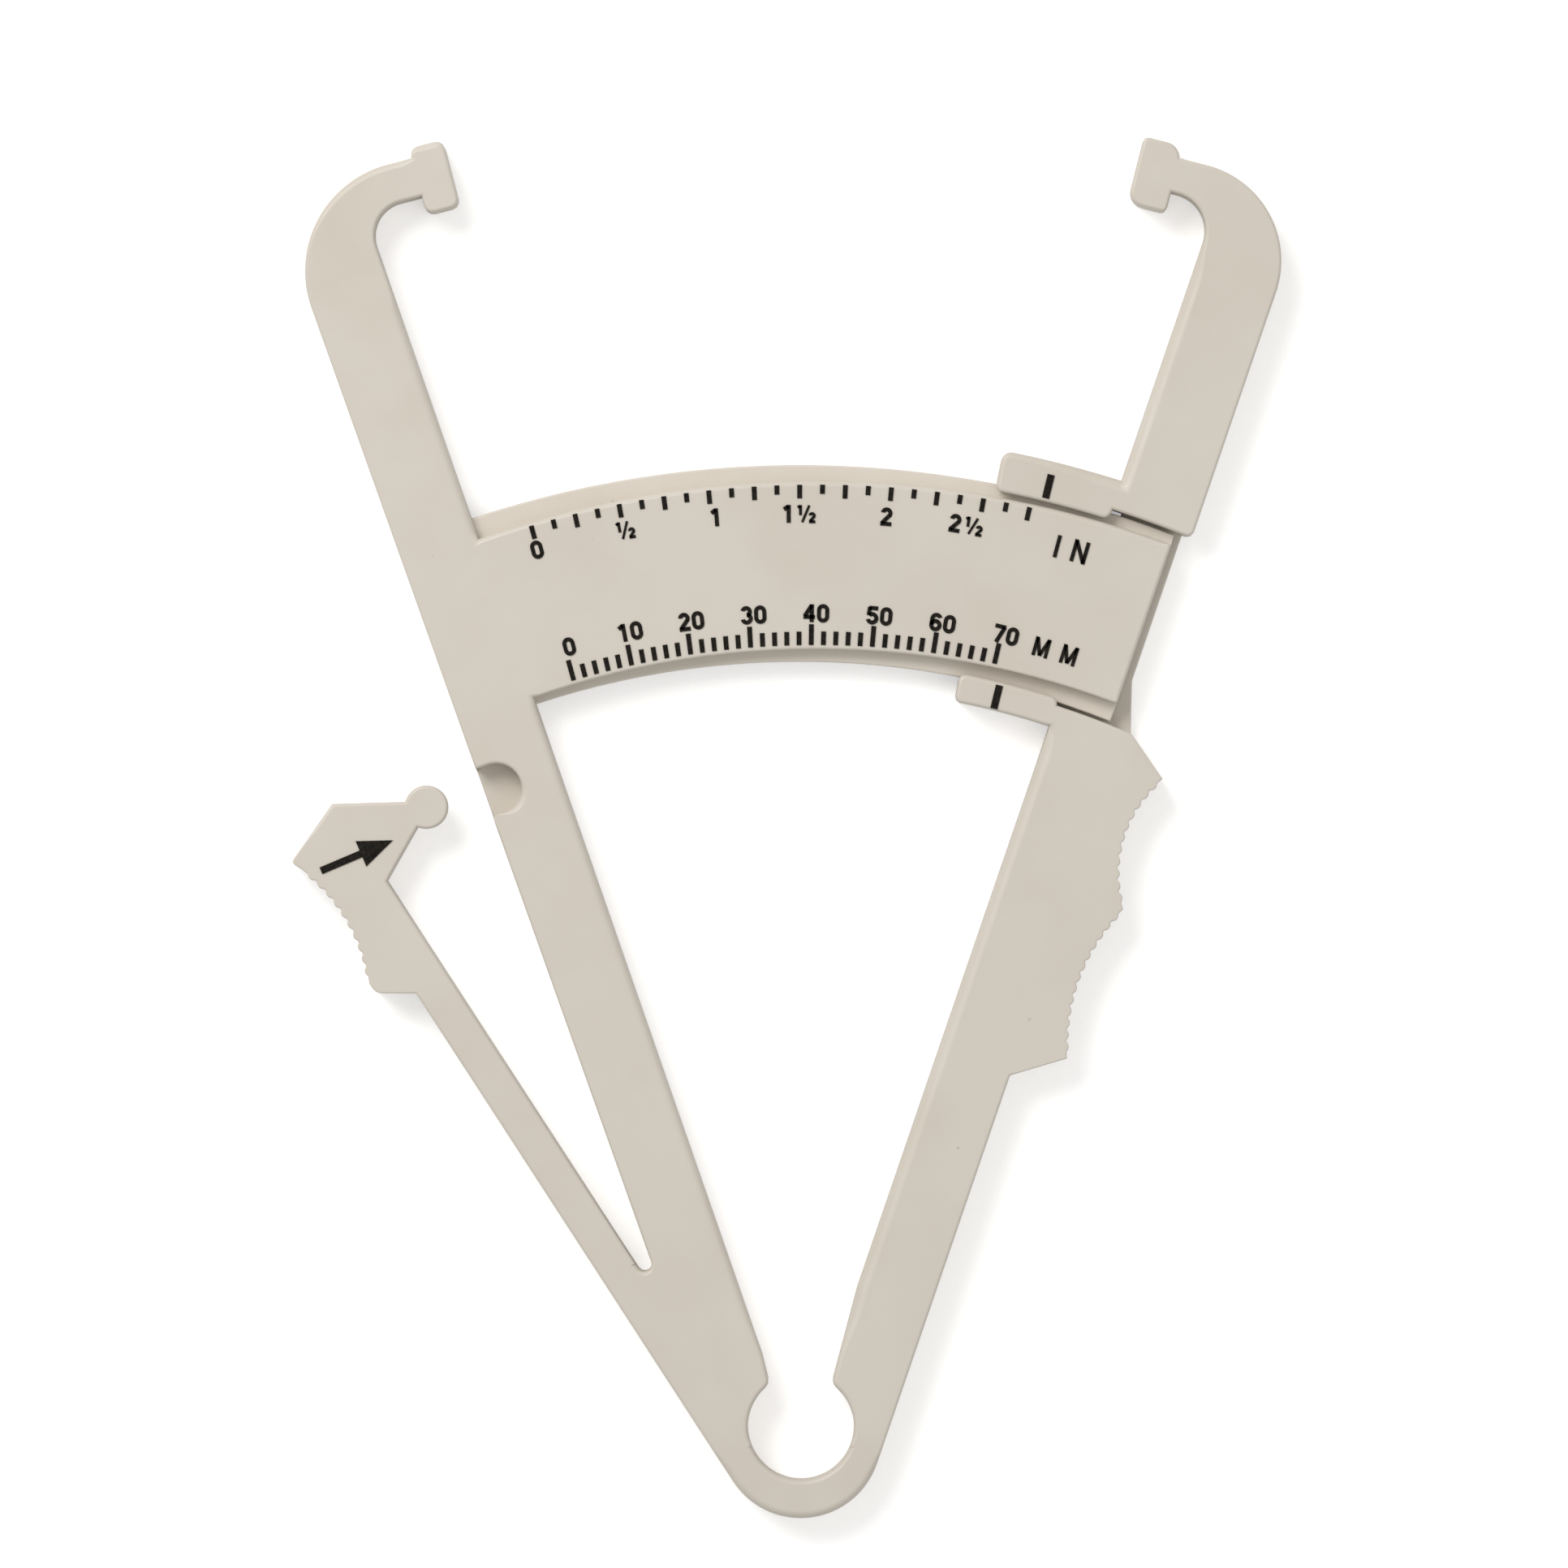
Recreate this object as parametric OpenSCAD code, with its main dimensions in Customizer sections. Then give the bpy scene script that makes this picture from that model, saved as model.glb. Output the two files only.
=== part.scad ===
// Skinfold caliper, lying on its back: +Y along the arms, +Z towards the reader of the scale.
// The origin is the middle of the spring bow that the two arms turn about, at the back face.
// A lean is measured from +Y, positive to the left; radii are measured from the origin.

/* [Overall] */
// Depth of the arms, back to front
body_t = 5; // [4.5:0.25:7]
// Facet length on the drawn curves
facet = 0.5; // [0.3:0.1:1.5]

/* [Left arm] */
// Lean of the left arm
left_lean = 19.4; // [18.8:0.1:21]
// Inner face past the arm's centre line, at the hinge
left_in = 1.3; // [0.8:0.1:1.8]
// Outer face from the arm's centre line, at the hinge
left_out = 6.2; // [5.6:0.1:7]
// Widening of each side per millimetre of arm
left_flare = 0.0036; // [0:0.0002:0.006]
// Rise of the left hook, from its start to the middle of the pads
left_hook_rise = 11.1; // [10.1:0.5:15.1]
// Outside radius of the hook
left_hook_out_r = 11.4; // [9:0.2:12]
// Inside radius of the hook
left_hook_in_r = 3.5; // [2.5:0.1:5]

/* [Right arm] */
// Lean of the right arm, to the right
right_lean = 18.9; // [18.2:0.1:19.6]
// Inner face of the handle past the centre line
right_in = 1.45; // [1:0.05:1.8]
// Outer face of the handle from the centre line
right_out = 6.4; // [5.8:0.1:6.5]
// Inner face of the jaw arm past the centre line
jaw_arm_in = 2.6; // [1.8:0.1:3]
// Outer face of the jaw arm from the centre line
jaw_arm_out = 6.2; // [5.8:0.1:6.8]
// Rise of the right hook, from its start to the middle of the pads
right_hook_rise = 10.1; // [9.1:0.5:15.1]
// Outside radius of the hook
right_hook_out_r = 10.2; // [8:0.1:11]
// Inside radius of the hook
right_hook_in_r = 3.8; // [2.5:0.1:4.5]

/* [Jaws] */
// Distance from the hinge to the middle of the pads
jaw_r = 142.1; // [139:0.1:145]
// Lean of the left pad's face
left_pad_lean = 14.7; // [14.6:0.1:15.4]
// Lean of the right pad's face, to the right
right_pad_lean = 14.2; // [14:0.1:14.8]
// Length of a pad's face
pad_len = 7.1; // [6.5:0.1:9]
// Thickness of the left pad
left_pad_t = 3.6; // [2.6:0.1:4]
// Thickness of the right pad
right_pad_t = 4.1; // [3:0.1:4.4]
// Corner radius of the left pad
pad_corner_r = 0.9; // [0.4:0.1:1.2]
// Corner radius at the low end of the right pad's face and at the top of its back
right_pad_long_r = 1.6; // [0.8:0.1:1.6]
// Corner radius of the right pad's two other corners
right_pad_short_r = 0.5; // [0.3:0.1:0.9]
// Width of the left hook where it meets the pad
left_neck_w = 4.1; // [3.2:0.1:5]
// Width of the right hook where it meets the pad
right_neck_w = 3.6; // [3.2:0.1:5]
// Neck's middle beyond the pad's middle
neck_rise = 0.45; // [0:0.05:0.6]

/* [Hinge bow] */
// Outside radius of the bow
bow_r = 8.35; // [7.9:0.05:8.8]
// Radius of the eye
eye_r = 5.5; // [5:0.1:5.8]
// Height of the eye's middle above the hinge point
eye_y = 7.5; // [7.2:0.1:8]
// Sideways place of the eye's middle
eye_x = 0.15; // [-0.3:0.05:0.6]
// Radius of the shoulders above the eye
nose_r = 0.9; // [0.6:0.1:1.2]
// Height at which the bow runs into the arms
bow_top = 5.5; // [4:0.25:6.5]
// Turn of the right arm that brings the pads together
close_deg = 28.7; // [28:0.1:28.7]
// Gap left between the shoulders when the jaws are closed
shoulder_gap = 0.3; // [0.3:0.05:0.8]
// Share of the shoulders' clearance that is cut from the left one
left_share = 0.58; // [0.4:0.02:0.6]

/* [Scale] */
// Inner radius of the rail that runs in the guide
rail_in_r = 86.8; // [86:0.1:87.2]
// Width of the rail
rail_w = 20.4; // [18:0.1:22]
// Thickness of the rail
rail_t = 1.5; // [1.2:0.1:1.8]
// Rim of the rail that shows inside the raised plate
rail_in_rim = 1.3; // [1:0.1:1.8]
// Rim of the rail that shows outside the raised plate
rail_out_rim = 1.7; // [1.7:0.1:2.6]
// Sideways shift of the plate's arcs from the hinge
plate_shift = 1.8; // [0.6:0.1:1.8]
// End of the scale past the right arm's centre line
scale_end = 4.4; // [3:0.1:4.6]

/* [Graduations] */
// Turn of the zero marks to the left
zero_lean = 15.4; // [15.1:0.05:15.6]
// Reach of the metric scale
mm_reach = 70; // [50:10:70]
// Steps of an eighth of an inch
inch_steps = 22; // [16:1:22]
// Width of the graduation lines
tick_w = 0.5; // [0.3:0.05:0.7]
// Length of the lines at each ten
tick_ten = 2.15; // [1.8:0.05:2.4]
// Length of the other metric lines and the quarter inches
tick_long = 1.4; // [1.2:0.05:1.7]
// Length of the eighths
tick_short = 0.95; // [0.7:0.05:1.2]
// Distance of the lines from the plate's edges
tick_margin = 0.4; // [0.3:0.05:0.8]
// Thickness of the printed ink
ink_t = 0.1; // [0.06:0.02:0.14]

/* [Guide] */
// Thickness of the bridge behind the scale
bridge_t = 1.4; // [1.2:0.1:1.6]
// Running gap in front of and behind the rail
slide_gap = 0.25; // [0.2:0.05:0.35]
// Running gap at the rail's two edges
edge_gap = 0.35; // [0.25:0.05:0.5]
// Outer face of the bridge from the right arm's centre line
bridge_out = 5.2; // [4.9:0.1:5.8]
// Height over which the bridge widens to the handle
bridge_foot = 5; // [3:0.5:8]
// Reach of both pointer tabs, as a lean to the right
tab_tip = 11; // [10.8:0.1:12.2]
// Lip of the inch tab over the rail
inch_lip = 0.75; // [0.6:0.05:0.9]
// Depth of the inch tab outside the rail's edge
inch_tab_w = 3.5; // [2.8:0.1:4.2]
// Lip of the metric tab over the rail
mm_lip = 0.4; // [0.3:0.05:0.45]
// Depth of the metric tab inside the rail's edge
mm_tab_w = 2.6; // [2.3:0.1:3.2]
// Lean of the two pointer marks to the right
pointer_lean = 13.8; // [13.2:0.1:14.6]
// Length of a pointer mark
pointer_len = 2.5; // [1.6:0.1:2.6]
// Width of a pointer mark
pointer_w = 0.75; // [0.5:0.05:1]
// Rounding of the inch tab's outer corner
tab_corner_r = 1; // [0.4:0.1:1.2]
// Rounding of both tabs' other corners and of the jaw arm's foot
tip_r = 0.6; // [0.4:0.05:0.7]
// Rounding of a lip where it ends at the right arm
lip_end_r = 0.7; // [0.4:0.05:0.7]
// Distance of a mark from its tab's edge beside the scale
pointer_margin = 0.35; // [0.2:0.05:0.4]

/* [Finger grip] */
// Stand of the grip's lower and upper peaks from the arm's centre line
grip_peak = 11.4; // [10.6:0.1:12]
// Further stand of the middle peak
mid_stand = 0.5; // [0:0.1:1]
// Depth of the lower finger hollow
low_hollow = 1.85; // [1.2:0.05:2.2]
// Depth of the upper finger hollow
high_hollow = 2.2; // [1.2:0.1:2.5]
// Outer face of the grip and the bridge where they meet, from the centre line
grip_foot = 6.85; // [6.5:0.05:7.2]
// Drop from the guide to the upper peak
high_drop = 3.65; // [3:0.05:5]
// Length of the upper hollow
high_span = 14.1; // [12:0.1:16]
// Length of the lower hollow
low_span = 16.5; // [14:0.1:18]
// Drop from the lower peak to where the grip leaves the arm
low_drop = 3.6; // [2:0.1:6]
// Spacing of the serrations
serration_pitch = 1.2; // [1.1:0.05:1.5]
// Radius of a serration
serration_r = 0.6; // [0.45:0.05:0.7]
// Height of a serration above the hollow
serration_h = 0.25; // [0.15:0.05:0.35]

/* [Force lever] */
// Lean of the lever
lever_lean = 33; // [32:0.1:34]
// Outer face of the lever, measured square from the hinge
lever_out = 4.75; // [4.4:0.05:5.2]
// Thickness of the lever's beam
beam_w = 3.8; // [3.4:0.05:4.1]
// Radius at the foot of the slot between lever and arm
slot_r = 0.75; // [0.6:0.05:0.9]
// Distance along the lever of the point it bends about
flex_y = 40; // [38:0.5:41]
// Distance along the lever at which the bending stretch ends
flex_end = 48; // [46:0.5:52]
// Distance along the lever at which the thumb rest begins
rest_low = 65.6; // [64:0.2:67]
// Stand of the thumb rest from the lever's outer face
rest_out = 3.5; // [2.8:0.1:4]
// Rise of the heel's corner above the thumb rest's foot
heel_y = 2.3; // [1.5:0.1:3]
// Rounding of the heel
heel_r = 1.2; // [0.4:0.1:1.5]
// Rise of the serrated hollow's low end above the foot
heel_rise = 3.5; // [3.2:0.1:4.5]
// Length of the serrated hollow
rest_len = 13.7; // [12:0.1:13.7]
// Depth of the serrated hollow
rest_hollow = 1.4; // [0.9:0.1:1.6]
// Set-in of the hollow's upper end
toe_in = 0.6; // [0.3:0.1:0.9]
// Rise of the toe's corner above the hollow
toe_y = 1.2; // [0.8:0.1:1.6]
// Rounding of the toe
toe_r = 0.4; // [0.2:0.05:0.6]
// Rise of the head's top corner above the foot
crown_y = 21.2; // [20.6:0.1:22]
// Set-in of the head's top corner from the beam's inner face
crown_in = 0.4; // [0:0.1:1]
// Rise of the fork between beam and head
fork_y = 11.4; // [10:0.2:12.4]
// Rise of the ball above the thumb rest's foot
ball_rise = 15.6; // [15.2:0.1:16]
// Ball's middle across the lever, from its outer face
ball_out = 11.4; // [11.1:0.1:11.7]
// Radius of the ball
ball_r = 2.25; // [2:0.05:2.3]
// Neck between the ball and the thumb rest
ball_neck = 2.9; // [2.4:0.1:3.2]
// Bearing from the neck to the ball, from level
neck_rise_deg = 26; // [22:1:30]
// Turn of the lever that seats the ball
seat_deg = 10.2; // [10:0.1:10.4]
// Gap round the seated ball
seat_gap = 0.35; // [0.25:0.05:0.5]
// Height of the notch's floor
notch_floor = 2.1; // [1.6:0.1:2.6]

/* [Arrow] */
// Length of the printed arrow
arrow_len = 8.1; // [6.5:0.1:8.6]
// Length of its head
arrow_head = 3.6; // [2.6:0.1:4]
// Width of its head
arrow_w = 2.85; // [2:0.05:3]
// Width of its shaft
arrow_shaft = 0.75; // [0.5:0.05:1]
// Rise of the arrow, from level
arrow_rise = 23; // [15:1:30]
// Distance of its tip from the ball's middle, across the lever
arrow_back = 4.75; // [4.4:0.05:5]
// Distance of its tip from the ball's middle, along the lever
arrow_drop = 1; // [0.4:0.1:1.4]

/* [Hidden] */
$fn = 96;

ivory = [0.83, 0.80, 0.74];
ink = [0.06, 0.05, 0.04];
eighth = 3.175;          // an eighth of an inch
reach = 30;              // how far a cutting shape runs past what it cuts

// ---- plane geometry ----

// Unit vector square to a leaning line, and the one along it
function across(lean) = [cos(lean), sin(lean)];
function along(lean) = [-sin(lean), cos(lean)];
// The point x across and y along a line through the hinge with this lean
function at(lean, x, y) = x * across(lean) + y * along(lean);
// Where the line through p and q meets the line through r and s
function meet(p, q, r, s) = p + (q - p) * cross(r - p, s - r) / cross(q - p, s - r);
// The upper point on a line, given by lean and offset, at distance d from point e
function on_line(e, lean, offset, d) =
    let (t = offset - across(lean) * e) e + t * across(lean) + sqrt(d * d - t * t) * along(lean);
// Direction of a vector, in degrees
function bearing(v) = atan2(v[1], v[0]);
// Points on an arc about c, from bearing a to bearing b
function arc(c, r, a, b) =
    let (n = max(2, ceil(abs(b - a) * PI * r / 180 / facet)))
    [for (i = [0:n]) let (g = a + (b - a) * i / n) c + r * [cos(g), sin(g)]];
// The shorter way round from bearing a to bearing b
function near(a, b) = a + (b - a) - 360 * round((b - a) / 360);
// A corner q between p and s, rounded to radius r
function corner(p, q, s, r) =
    let (u = (p - q) / norm(p - q), v = (s - q) / norm(s - q), half = acos(u * v) / 2,
         c = q + (u + v) / norm(u + v) * r / sin(half), t = r / tan(half),
         a = bearing(q + u * t - c))
    r == 0 ? [q] : arc(c, r, a, near(a, bearing(q + v * t - c)));
// A closed outline through points [p, radius], each corner rounded
function outline(c) =
    let (n = len(c)) [for (i = [0:n - 1])
        each corner(c[(i + n - 1) % n][0], c[i][0], c[(i + 1) % n][0], c[i][1])];
// Radius and middle of the arc that joins p to q and sags to its left by depth, and its points
function sag_r(p, q, depth) = (pow(norm(q - p) / 2, 2) + depth * depth) / (2 * depth);
function sag_c(p, q, depth) =
    let (d = (q - p) / norm(q - p)) (p + q) / 2 + [-d[1], d[0]] * (depth - sag_r(p, q, depth));
function hollow(p, q, depth) =
    let (c = sag_c(p, q, depth), a = bearing(p - c))
    arc(c, sag_r(p, q, depth), a, near(a, bearing(q - c)));
function rest_of(v) = [for (i = [1:len(v) - 1]) v[i]];
function inner_of(v) = [for (i = [1:len(v) - 2]) v[i]];
// The point at distance d from the hinge on a line given by lean and offset
function out_on(lean, offset, d) = at(lean, offset, sqrt(d * d - offset * offset));
// A rounding about c, or c itself where there is none
function rounding(c, r, a, b) = r == 0 ? [c] : arc(c, r, a, b);

// ---- levels, back to front ----

rail_z = bridge_t + slide_gap;
plate_z = rail_z + rail_t;
lip_z = plate_z + slide_gap;
ball_z = notch_floor + seat_gap;

// ---- the two arms ----

left_hook_y = jaw_r - left_hook_rise;
right_hook_y = jaw_r - right_hook_rise;
function left_in_at(y) = left_in + left_flare * y;
function left_out_at(y) = left_out + left_flare * y;
function left_inner(y) = at(left_lean, left_in_at(y), y);
function left_outer(y) = at(left_lean, -left_out_at(y), y);
function right_inner(y) = at(-right_lean, -right_in, y);
function right_outer(y) = at(-right_lean, right_out, y);
function jaw_inner(y) = at(-right_lean, -jaw_arm_in, y);
function jaw_outer(y) = at(-right_lean, jaw_arm_out, y);

rail_out_r = rail_in_r + rail_w;
plate_in_r = rail_in_r + rail_in_rim;
plate_out_r = rail_out_r - rail_out_rim;

// Walls of the guide, one running gap off the rail's edges
guide_in_r = rail_in_r - edge_gap;
guide_out_r = rail_out_r + edge_gap;
inch_tab_out_r = rail_out_r + inch_tab_w;
mm_tab_in_r = rail_in_r - mm_tab_w;

// ---- the lever ----

function lever_at(x, y) = at(lever_lean, x, y);
ball_y = rest_low + ball_rise;
beam_in = -lever_out + beam_w;
// The slot's two walls meet here, below its rounded foot
slot_apex = meet(left_outer(0), left_outer(100), lever_at(beam_in, 0), lever_at(beam_in, 100));
slot_reach = slot_r / tan((lever_lean - left_lean) / 2) + slot_r;
arm_seam = along(left_lean) * slot_apex + slot_reach;
lever_seam = along(lever_lean) * slot_apex + slot_reach;

// The ball seats in the notch when the lever has turned about its bending point
flex_point = lever_at(-lever_out + beam_w / 2, flex_y);
function turned(p, c, deg) = let (d = p - c)
    c + [d[0] * cos(deg) - d[1] * sin(deg), d[0] * sin(deg) + d[1] * cos(deg)];
ball_c = lever_at(ball_out - lever_out, ball_y);
notch_c = turned(ball_c, flex_point, -seat_deg);
notch_r = ball_r + seat_gap;

// ---- the hinge ----

eye = [eye_x, eye_y];
// The bow's round touches the lever's outer face and the right arm's outer face
bow_c = meet(lever_at(bow_r - lever_out, 0), lever_at(bow_r - lever_out, 100),
             at(-right_lean, right_out - bow_r, 0), at(-right_lean, right_out - bow_r, 100));
// The shoulders' faces lie side by side when the jaws are closed
relief = left_lean + right_lean - close_deg;
left_relief = left_share * relief;
right_relief = relief - left_relief;
function knee(half_w, turn) = (half_w * cos(turn) + shoulder_gap / 2) / sin(turn);
left_knee = left_inner(knee(left_in_at(knee(left_in, left_relief)), left_relief));
right_knee = right_inner(knee(right_in, right_relief));
left_face = left_lean - left_relief;
right_face = right_relief - right_lean;
left_nose = on_line(eye, left_face, across(left_face) * left_knee - nose_r, eye_r + nose_r);
right_nose = on_line(eye, right_face, across(right_face) * right_knee + nose_r, eye_r + nose_r);
eye_side = sqrt(eye_r * eye_r - pow(bow_top - eye_y, 2));
eye_left = [eye_x - eye_side, bow_top];
eye_right = [eye_x + eye_side, bow_top];
function level(p, q) = meet(p, q, [0, bow_top], [1, bow_top]);
bow_left = level(lever_at(-lever_out, 0), lever_at(-lever_out, 50));
bow_right = level(right_outer(0), right_outer(50));

module plate_of(z0, z1) { translate([0, 0, z0]) linear_extrude(z1 - z0) children(); }

module left_hinge_root() {
    nose_a = bearing(left_nose - eye);
    shape = concat(
        [bow_left],
        arc(eye, eye_r, bearing(eye_left - eye) + 360, near(bearing(eye_left - eye) + 360, nose_a)),
        arc(left_nose, nose_r, nose_a - 180, near(nose_a - 180, left_face)),
        [left_knee, left_inner(arm_seam), left_outer(arm_seam)],
        corner(left_outer(arm_seam), slot_apex, lever_at(beam_in, lever_seam), slot_r),
        [lever_at(beam_in, lever_seam), lever_at(-lever_out, lever_seam)]);
    color(ivory) plate_of(0, body_t) polygon(shape);
}

module hinge_bow() {
    shape = concat(
        [bow_left],
        arc(bow_c, bow_r, 180 + lever_lean, 360 - right_lean),
        [bow_right],
        arc(eye, eye_r, bearing(eye_right - eye) + 360, bearing(eye_left - eye) + 360));
    color(ivory) plate_of(0, body_t) polygon(shape);
}

module right_hinge_root() {
    nose_a = bearing(right_nose - eye);
    shape = concat(
        [bow_right, right_outer(arm_seam), right_inner(arm_seam), right_knee],
        arc(right_nose, nose_r, right_face + 180, near(right_face + 180, nose_a + 180)),
        arc(eye, eye_r, nose_a, near(nose_a, bearing(eye_right - eye))));
    color(ivory) plate_of(0, body_t) polygon(shape);
}

// The round notch that takes the lever's ball, open to the arm's outer face
module notch() {
    translate(notch_c) circle(notch_r);
    translate(notch_c) rotate(left_lean) translate([-reach, -notch_r]) square([reach, 2 * notch_r]);
}

module left_arm()
    color(ivory) difference() {
        plate_of(0, body_t) polygon([left_outer(arm_seam), left_inner(arm_seam),
                                     left_inner(left_hook_y), left_outer(left_hook_y)]);
        plate_of(notch_floor, 2 * body_t) notch();
    }

// A hook from the arm's end round to the back of its pad, this far across the pad's line
module hook(outer0, outer1, inner0, inner1, pad_lean, back, neck_w, r_out, r_in) {
    neck = jaw_r + neck_rise;
    top = neck + neck_w / 2;
    low = neck - neck_w / 2;
    far = sign(back) * reach;
    shape = outline([
        [outer0, 0],
        [meet(outer0, outer1, at(pad_lean, back, top), at(pad_lean, far, top)), r_out],
        [at(pad_lean, back, top), 0],
        [at(pad_lean, back, low), 0],
        [meet(inner0, inner1, at(pad_lean, back, low), at(pad_lean, far, low)), r_in],
        [inner0, 0]]);
    plate_of(0, body_t) polygon(shape);
}

module left_jaw_hook()
    color(ivory) hook(left_outer(left_hook_y), left_outer(left_hook_y + 1),
                      left_inner(left_hook_y), left_inner(left_hook_y + 1),
                      left_pad_lean, -left_pad_t, left_neck_w, left_hook_out_r, left_hook_in_r);

module right_jaw_hook()
    color(ivory) hook(jaw_outer(right_hook_y), jaw_outer(right_hook_y + 1),
                      jaw_inner(right_hook_y), jaw_inner(right_hook_y + 1),
                      -right_pad_lean, right_pad_t, right_neck_w, right_hook_out_r, right_hook_in_r);

// A pad with its face on the leaning line, rounded at the face's low and top, the back's top and low
module pad(pad_lean, back, low_r, top_r, back_top_r, back_low_r) {
    low = jaw_r - pad_len / 2;
    top = jaw_r + pad_len / 2;
    plate_of(0, body_t) polygon(outline([
        [at(pad_lean, 0, low), low_r], [at(pad_lean, 0, top), top_r],
        [at(pad_lean, back, top), back_top_r], [at(pad_lean, back, low), back_low_r]]));
}

module left_jaw_pad()
    color(ivory) pad(left_pad_lean, -left_pad_t, pad_corner_r, pad_corner_r, pad_corner_r, pad_corner_r);
module right_jaw_pad()
    color(ivory) pad(-right_pad_lean, right_pad_t,
                     right_pad_long_r, right_pad_short_r, right_pad_long_r, right_pad_short_r);

// ---- the scale ----

// The field between the left arm's inner face and a line beside the right arm
module scale_field(end_x)
    polygon([left_inner(rail_in_r - reach / 2), left_inner(rail_out_r + reach / 2),
             at(-right_lean, end_x, rail_out_r + reach / 2),
             at(-right_lean, end_x, rail_in_r - reach / 2)]);

module ring(r_in, r_out) difference() { circle(r_out, $fn = 720); circle(r_in, $fn = 720); }

module scale_rail()
    color(ivory) plate_of(rail_z, plate_z) intersection() {
        ring(rail_in_r, rail_out_r);
        scale_field(scale_end);
    }

module scale_plate()
    color(ivory) plate_of(plate_z, body_t) intersection() {
        translate([plate_shift, 0]) ring(plate_in_r, plate_out_r);
        scale_field(scale_end);
    }

// Turn to the right at which the jaws stand open by this much
function scale_turn(opening) = 2 * asin(opening / (2 * jaw_r)) - zero_lean;
// Radius of one of the plate's arcs at this turn
function plate_arc(r, turn) = r + plate_shift * sin(turn);

module tick(turn, r, length)
    rotate(-turn) translate([-tick_w / 2, r]) square([tick_w, length]);

module mm_graduations()
    color(ink) plate_of(body_t, body_t + ink_t)
        for (opening = [0:2:mm_reach]) {
            turn = scale_turn(opening);
            tick(turn, plate_arc(plate_in_r, turn) + tick_margin,
                 opening % 10 == 0 ? tick_ten : tick_long);
        }

module inch_graduations()
    color(ink) plate_of(body_t, body_t + ink_t)
        for (step = [0:inch_steps]) {
            turn = scale_turn(step * eighth);
            length = step % 2 == 0 ? tick_long : tick_short;
            tick(turn, plate_arc(plate_out_r, turn) - tick_margin - length, length);
        }

// ---- the moving arm ----

module handle()
    color(ivory) plate_of(0, body_t) intersection() {
        polygon([right_inner(arm_seam), right_outer(arm_seam),
                 right_outer(guide_in_r + reach), right_inner(guide_in_r + reach)]);
        circle(guide_in_r, $fn = 720);
    }

function grip_at(x, y) = at(-right_lean, x, y);
high_y = guide_in_r - high_drop;
mid_y = high_y - high_span;
low_y = mid_y - low_span;
high_peak = grip_at(grip_peak, high_y);
mid_peak = grip_at(grip_peak + mid_stand, mid_y);
low_peak = grip_at(grip_peak, low_y);
// The point on the guide's inner wall this far from the centre line
function foot_at(x) = grip_at(x, sqrt(pow(guide_in_r, 2) - x * x));

// Serrations along a hollow, one pitch apart, kept off its two ends
module serrations(p, q, depth) {
    c = sag_c(p, q, depth);
    r = sag_r(p, q, depth);
    a = bearing(p - c);
    sweep = near(a, bearing(q - c)) - a;
    count = floor(abs(sweep) * PI * r / 180 / serration_pitch);
    for (i = [1:count - 1]) {
        g = a + sweep * i / count;
        translate(c + (r - serration_h + serration_r) * [cos(g), sin(g)]) circle(serration_r, $fn = 24);
    }
}

module finger_grip()
    color(ivory) plate_of(0, body_t) {
        polygon(concat(
            [foot_at(right_out), grip_at(right_out, low_y - low_drop)],
            hollow(low_peak, mid_peak, low_hollow),
            rest_of(hollow(mid_peak, high_peak, high_hollow)),
            [foot_at(grip_foot)]));
        serrations(low_peak, mid_peak, low_hollow);
        serrations(mid_peak, high_peak, high_hollow);
    }

module scale_bridge()
    color(ivory) plate_of(0, bridge_t) intersection() {
        ring(guide_in_r, guide_out_r);
        polygon([grip_at(-right_in, guide_in_r - reach), grip_at(grip_foot, guide_in_r - reach),
                 foot_at(grip_foot), grip_at(bridge_out, guide_in_r + bridge_foot),
                 grip_at(bridge_out, guide_out_r + reach), grip_at(-right_in, guide_out_r + reach)]);
    }

hinge = [0, 0];

module right_jaw_arm() {
    foot_c = out_on(-right_lean, jaw_arm_out - tip_r, guide_out_r + tip_r);
    shape = concat(
        arc(hinge, guide_out_r, bearing(out_on(-right_lean, -jaw_arm_in, guide_out_r)), bearing(foot_c)),
        rest_of(arc(foot_c, tip_r, bearing(foot_c) + 180, 360 - right_lean)),
        [jaw_outer(right_hook_y), jaw_inner(right_hook_y)]);
    color(ivory) plate_of(0, body_t) polygon(shape);
}

// Plan of a tab between two arcs about the hinge, from its tip to a face of the right arm.
// The last four are the roundings of its inner and outer corners, at the tip and at the arm.
module tab_plan(r_in, r_out, arm_x, tip_in, tip_out, arm_in, arm_out) {
    tip_normal = 180 - tab_tip;
    arm_normal = 360 - right_lean;
    tip_in_c = out_on(-tab_tip, tip_in, r_in + tip_in);
    tip_out_c = out_on(-tab_tip, tip_out, r_out - tip_out);
    arm_in_c = out_on(-right_lean, -arm_x - arm_in, r_in + arm_in);
    arm_out_c = out_on(-right_lean, -arm_x - arm_out, r_out - arm_out);
    polygon(concat(
        rounding(arm_out_c, arm_out, arm_normal - 360, bearing(arm_out_c)),
        inner_of(arc(hinge, r_out, bearing(arm_out_c), bearing(tip_out_c))),
        rounding(tip_out_c, tip_out, bearing(tip_out_c), tip_normal),
        rounding(tip_in_c, tip_in, tip_normal, bearing(tip_in_c) + 180),
        inner_of(arc(hinge, r_in, bearing(tip_in_c), bearing(arm_in_c))),
        rounding(arm_in_c, arm_in, bearing(arm_in_c) + 180, arm_normal)));
}

module inch_pointer_tab()
    color(ivory) {
        plate_of(0, lip_z)
            tab_plan(guide_out_r, inch_tab_out_r, jaw_arm_in, 0, tab_corner_r, 0, 0);
        plate_of(lip_z, body_t)
            tab_plan(rail_out_r - inch_lip, inch_tab_out_r, jaw_arm_in, tip_r, tab_corner_r, lip_end_r, 0);
    }

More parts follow.
